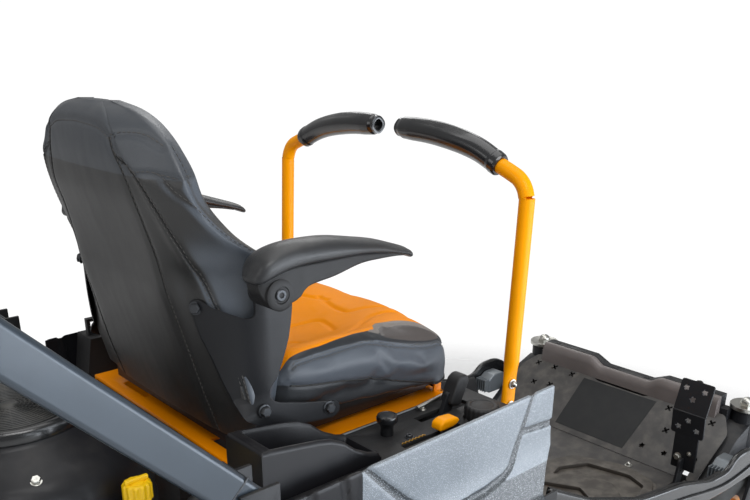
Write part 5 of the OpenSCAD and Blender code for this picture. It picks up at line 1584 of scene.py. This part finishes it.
# %% Beam nubs and swivel caps
BEAM_X = 846
nubs = [rounded((BEAM_X - 5, y - 8, top - 3), (BEAM_X + 5, y + 8, top + 4), 3)
        for top, y in ((428, 225), (410, 41), (410, -52), (428, -225))]
build("rail_nubs", joined(*nubs), BLACK, "chassis")
washer = [(0, 409.6), (10, 409.6), (30, 409.8), (34, 411.4), (37.5, 411.4), (38.8, 409.5), (38.8, 402.2),
          (34, 401.9), (0, 401.9)]
dome = [(14.6 * math.cos(t), 417 + 11.4 * math.sin(t)) for t in np.linspace(0, 1.5, 8)] + [(0, 428.6)]
SWIVEL = (881, -300, 0)
cap_nut = joined(lathe(washer[::-1], SWIVEL, count=64),
                 lathe([(0, 409), (17.5, 409), (17.5, 417), (0, 417)], SWIVEL, sides=6),
                 lathe([(0, 412)] + dome, SWIVEL, count=32))
build("right_swivel_cap", cap_nut, ZINC, "right_caster")
build("left_swivel_cap", mirrored(cap_nut), ZINC, "left_caster")
print("footwell done")

# %% [markdown]
# ## Rear wheels
# The tread is a pattern of blocks, which separate meshes would make heavy. So the tyre is one closed grid,
# and its radius drops in the gaps between the blocks. The gaps shift from row to row, as on a turf tyre.

# %% Rear tyres and rims
def tyre(radius, bead, width, pitch, deep, steps):
    """Closed tyre about the Y axis at the origin, its tread cut into blocks, pitch of them in a row."""
    w, r = width / 2, radius
    side = [(bead, w - 18), (bead + 14, w - 4), (0.5 * (r + bead), w), (r - 30, w - 3), (r - 12, w - 11),
            (r - 3, w - 24)]
    tread = [(r, w - 40 - k * (width - 80) / steps) for k in range(steps + 1)]
    inside = [(bead, -w + 32), (bead + 12, -w + 18), (0.5 * (r + bead), -w + 14), (r - 30, -w + 18),
              (r - 14, -w + 44), (r - 14, w - 44), (r - 30, w - 18), (0.5 * (r + bead), w - 14),
              (bead + 12, w - 18), (bead, w - 32)]
    profile = np.array(side + tread + [(a, -b) for a, b in side[::-1]] + inside)
    n = pitch * 8
    a = np.linspace(0, 2 * np.pi, n, endpoint=False)
    ring_a, h = np.meshgrid(a, profile[:, 1])
    q = np.broadcast_to(profile[:, :1], ring_a.shape).copy()
    phase = ring_a * pitch / (2 * np.pi) + 0.9 * np.abs(h) / w
    row = np.round((h / (w - 40)) * 2.5)
    gap = np.abs(((phase + 0.5 * (np.abs(row) % 2)) % 1) - 0.5)
    cut = (gap < 0.14) | (np.abs((h / (w - 40) * 2.5 - row)) > 0.34)
    shoulder = (q > r - 12.5) & (np.abs(h) > w - 41) & (gap < 0.17)
    q = q - deep * ((q > r - 1) & cut) - 0.8 * deep * shoulder
    rings = np.stack([q * np.cos(ring_a), h, q * np.sin(ring_a)], -1)
    return grid(rings, wrap=True)


print("tyre function ready")

# %% [markdown]
# ## Rear rims
# A pressed rim is a turned profile with a hub, a dish and a rolled edge at each side. Lug bolts stand round
# the hub, with a cap on the axle and a rubber valve.

# %% Rear rims
def wheel_dish(r, half, face, hub_r, lugs, spread):
    """Pressed rim about the Y axis with its outer face at +Y, and its lug bolts."""
    profile = [(0, face), (hub_r, face), (hub_r + 8, face - 4), (spread + 16, face - 5),
               (spread + 26, face - 16), (r - 22, face - 18), (r - 14, face - 6), (r - 9, half - 4),
               (r - 3, half), (r + 3, half + 1), (r + 4, half - 2), (r - 2, half - 6), (r - 3, -half + 6),
               (r + 4, -half + 2), (r + 3, -half - 1), (r - 3, -half), (r - 9, -half + 4),
               (r - 16, face - 30), (spread, face - 26), (0, face - 26)]
    dish = lathe(profile, (0, 0, 0), (0, 1, 0), 96)
    bolts = [bolt((spread * math.cos(t), face - 5, spread * math.sin(t)), (0, 1, 0), 17)
             for t in np.arange(lugs) * 2 * np.pi / lugs]
    return dish, joined(*bolts)


rear_at = np.array([-440, 460, 254.0])
rubber = moved(tyre(254, 127, 230, 40, 7.5, 20), rear_at)
dish, lugs = wheel_dish(124, 93, 34, 34, 5, 50)
hub_cap = lathe([(0, 24), (33, 24), (33, 39), (28, 43), (0, 43)], (0, 0, 0), (0, 1, 0), 48)
valve = lathe([(0, 0), (3.2, 0), (3.2, 18), (2.2, 22), (0, 22)], (96, 14, 0), (-0.2, 1, 0), 14)
axle = lathe([(0, -255), (15, -255), (15, 10), (0, 10)], (0, 0, 0), (0, 1, 0), 32)
for side, flip in (("left", lambda s: s), ("right", mirrored)):
    body = side + "_rear_wheel"
    build(side + "_rear_tyre_tread", flip(rubber), TYRE, body, crease=30, replaces=[side + "_rear_tyre"])
    build(side + "_rear_rim_dish", flip(moved(joined(dish, axle), rear_at)), RIM, body,
          replaces=[side + "_rear_rim"])
    build(side + "_rear_wheel_lugs", flip(moved(joined(lugs, hub_cap), rear_at)), ZINC, body)
    build(side + "_rear_wheel_valve", flip(moved(valve, rear_at)), RUBBER, body)
print("tyre points:", len(rubber[0]))

# %% [markdown]
# ## Caster wheels
# The front tyres are smooth but for shallow grooves, and sit on a spun rim with a hub. Both are profiles
# carried round the axle, and the axle's nuts ride on the fork.

# %% Casters
caster_at = np.array([806, 300, 140.0])
w, r, bead = 50, 140, 62.4
smooth_tyre = [(bead, w - 18), (bead + 12, w - 6), (100, w), (r - 24, w - 3), (r - 10, w - 14),
               (r - 3, w - 26), (r - 3, w - 29), (r, w - 30), (r, 4), (r - 3, 3), (r - 3, -3), (r, -4),
               (r, -w + 30), (r - 3, -w + 29), (r - 3, -w + 26), (r - 10, -w + 14), (r - 24, -w + 3),
               (100, -w), (bead + 12, -w + 6), (bead, -w + 18), (bead, -w + 28), (r - 14, -w + 36),
               (r - 14, w - 36), (bead, w - 28)]
caster_rubber = lathe(smooth_tyre, (0, 0, 0), (0, 1, 0), 96, wrap=True)
caster_rim = lathe([(8.1, 55), (20, 55), (21, 16), (50, 13), (53, 30), (62, 32), (66, 34), (66, 30), (61, 26),
                    (61, -26), (66, -30), (66, -34), (62, -32), (53, -30), (50, -13), (21, -16), (20, -55),
                    (8.1, -55)], (0, 0, 0), (0, 1, 0), 72, wrap=True)
ends = joined(bolt((0, 65.5, 0), (0, 1, 0), 24), bolt((0, -65.5, 0), (0, -1, 0), 24))
for side, flip in (("left", lambda s: s), ("right", mirrored)):
    build(side + "_caster_tyre", flip(moved(caster_rubber, caster_at)), TYRE, side + "_caster_wheel",
          replaces=[side + "_caster_wheel"])
    build(side + "_caster_rim", flip(moved(caster_rim, caster_at)), RIM, side + "_caster_wheel")
    build(side + "_caster_axle_ends", flip(moved(ends, caster_at)), ZINC, side + "_caster")
print("wheels done")

# %% [markdown]
# ## Camera
# The camera stands behind the machine's right side, above the roll bar, and looks down along it.

# %% Camera
def look(position, along, up, lens, shift):
    """Camera at position (mm) looking along, with its top towards up."""
    data = bpy.data.cameras.new("camera")
    data.lens, data.sensor_width, data.shift_x, data.shift_y = lens, 36, *shift
    data.clip_start, data.clip_end = 0.05, 60
    view = bpy.data.objects.new("camera", data)
    d, u = Vector(along).normalized(), Vector(up).normalized()
    right = d.cross(u).normalized()
    view.matrix_world = Matrix.Translation(Vector(position) * MM) @ Matrix(
        (right, right.cross(d), -d)).transposed().to_4x4()
    bpy.context.scene.collection.objects.link(view)
    bpy.context.scene.camera = view


look((-989, -1076, 1223), (0.61356, 0.69705, -0.37105), (0.24457, 0.27903, 0.92861), 40.17, (0.0032, 0.1605))
print("camera lens:", bpy.context.scene.camera.data.lens)

# %% [markdown]
# ## Light
# Large lamps light the machine softly from all sides, and the brightest stands over its right side. They
# are large because a small lamp leaves hard shadows and points of glare.

# %% Lamps
def lamp(name, at, target, power, width, height, colour=(1, 1, 1)):
    """Rectangular lamp at a place in metres, turned to its target."""
    data = bpy.data.lights.new(name, "AREA")
    data.shape, data.size, data.size_y, data.energy, data.color = "RECTANGLE", width, height, power, colour
    light = bpy.data.objects.new(name, data)
    light.location = at
    light.rotation_euler = (Vector(target) - Vector(at)).to_track_quat("-Z", "Y").to_euler()
    light.visible_camera = False
    bpy.context.scene.collection.objects.link(light)


lamp("key", (-1.2, -3.2, 4.2), (0, 0, 0.5), 105, 2.6, 2.0)
lamp("side", (0.9, -4.4, 1.5), (0, 0, 0.6), 70, 3.6, 2.2, (0.86, 0.93, 1.0))
lamp("bounce", (1.2, -2.3, 0.3), (-0.2, 0, 0.75), 60, 3.0, 1.1, (0.86, 0.92, 1.0))
lamp("fill", (-4.2, 0.6, 2.6), (-0.3, 0, 0.6), 32, 2.2, 2.4)
lamp("rim", (2.6, 2.8, 3.4), (0, 0, 0.6), 35, 2.4, 1.6)
lamp("top", (0.2, 0, 4.6), (0, 0, 0.4), 62, 3.2, 3.2)
print("lamps:", len(bpy.data.lights))

# %% [markdown]
# ## Floor
# The floor is a large thin disc, pale and dull, so that it takes a soft shadow. Away from the machine it
# turns clear for the camera, and the pale background shows through.

# %% Floor
points, faces = plate(circle(0, 0, 9000, 96), 10, bevel=1, at=(0, 0, -10))
white = bpy.data.materials.new("pale_floor")
white.use_nodes = True
tree = white.node_tree
shader = tree.nodes["Principled BSDF"]
shader.inputs["Roughness"].default_value = 0.9
shader.inputs["Base Color"].default_value = (0.86, 0.86, 0.86, 1)
shader.inputs["Specular IOR Level"].default_value = 0.1
spot = Socket(tree, tree.nodes.new("ShaderNodeTexCoord").outputs["Object"])
far = spot.node("ShaderNodeVectorMath", out=1, settings={"operation": "LENGTH"}, i0=spot).ramp(1.1, 2.1)
seen = Socket(tree, tree.nodes.new("ShaderNodeLightPath").outputs["Is Camera Ray"])
clear = tree.nodes.new("ShaderNodeBsdfTransparent")
blend = tree.nodes.new("ShaderNodeMixShader")
tree.links.new((far * seen).socket, blend.inputs[0])
tree.links.new(shader.outputs[0], blend.inputs[1])
tree.links.new(clear.outputs[0], blend.inputs[2])
tree.links.new(blend.outputs[0], tree.nodes["Material Output"].inputs["Surface"])
mesh = bpy.data.meshes.new("floor")
mesh.from_pydata((points * MM).tolist(), [], faces)
mesh.materials.append(white)
floor = bpy.data.objects.new("floor", mesh)
bpy.context.scene.collection.objects.link(floor)
print("floor points:", len(points))

# %% [markdown]
# ## Background
# The world lights the machine a little from all round. Rays from the camera see it at full white, and so
# the light on the machine stays low without the background going grey.

# %% Background
world = bpy.data.worlds.new("studio")
bpy.context.scene.world = world
world.use_nodes = True
sky = world.node_tree
ray = Socket(sky, sky.nodes.new("ShaderNodeLightPath").outputs["Is Camera Ray"])
glow = sky.nodes["Background"]
glow.inputs["Color"].default_value = (1, 1, 1, 1)
sky.links.new((0.34 + ray * 0.71).socket, glow.inputs["Strength"])
bpy.context.scene.view_settings.view_transform = "Standard"
print("view transform:", bpy.context.scene.view_settings.view_transform)
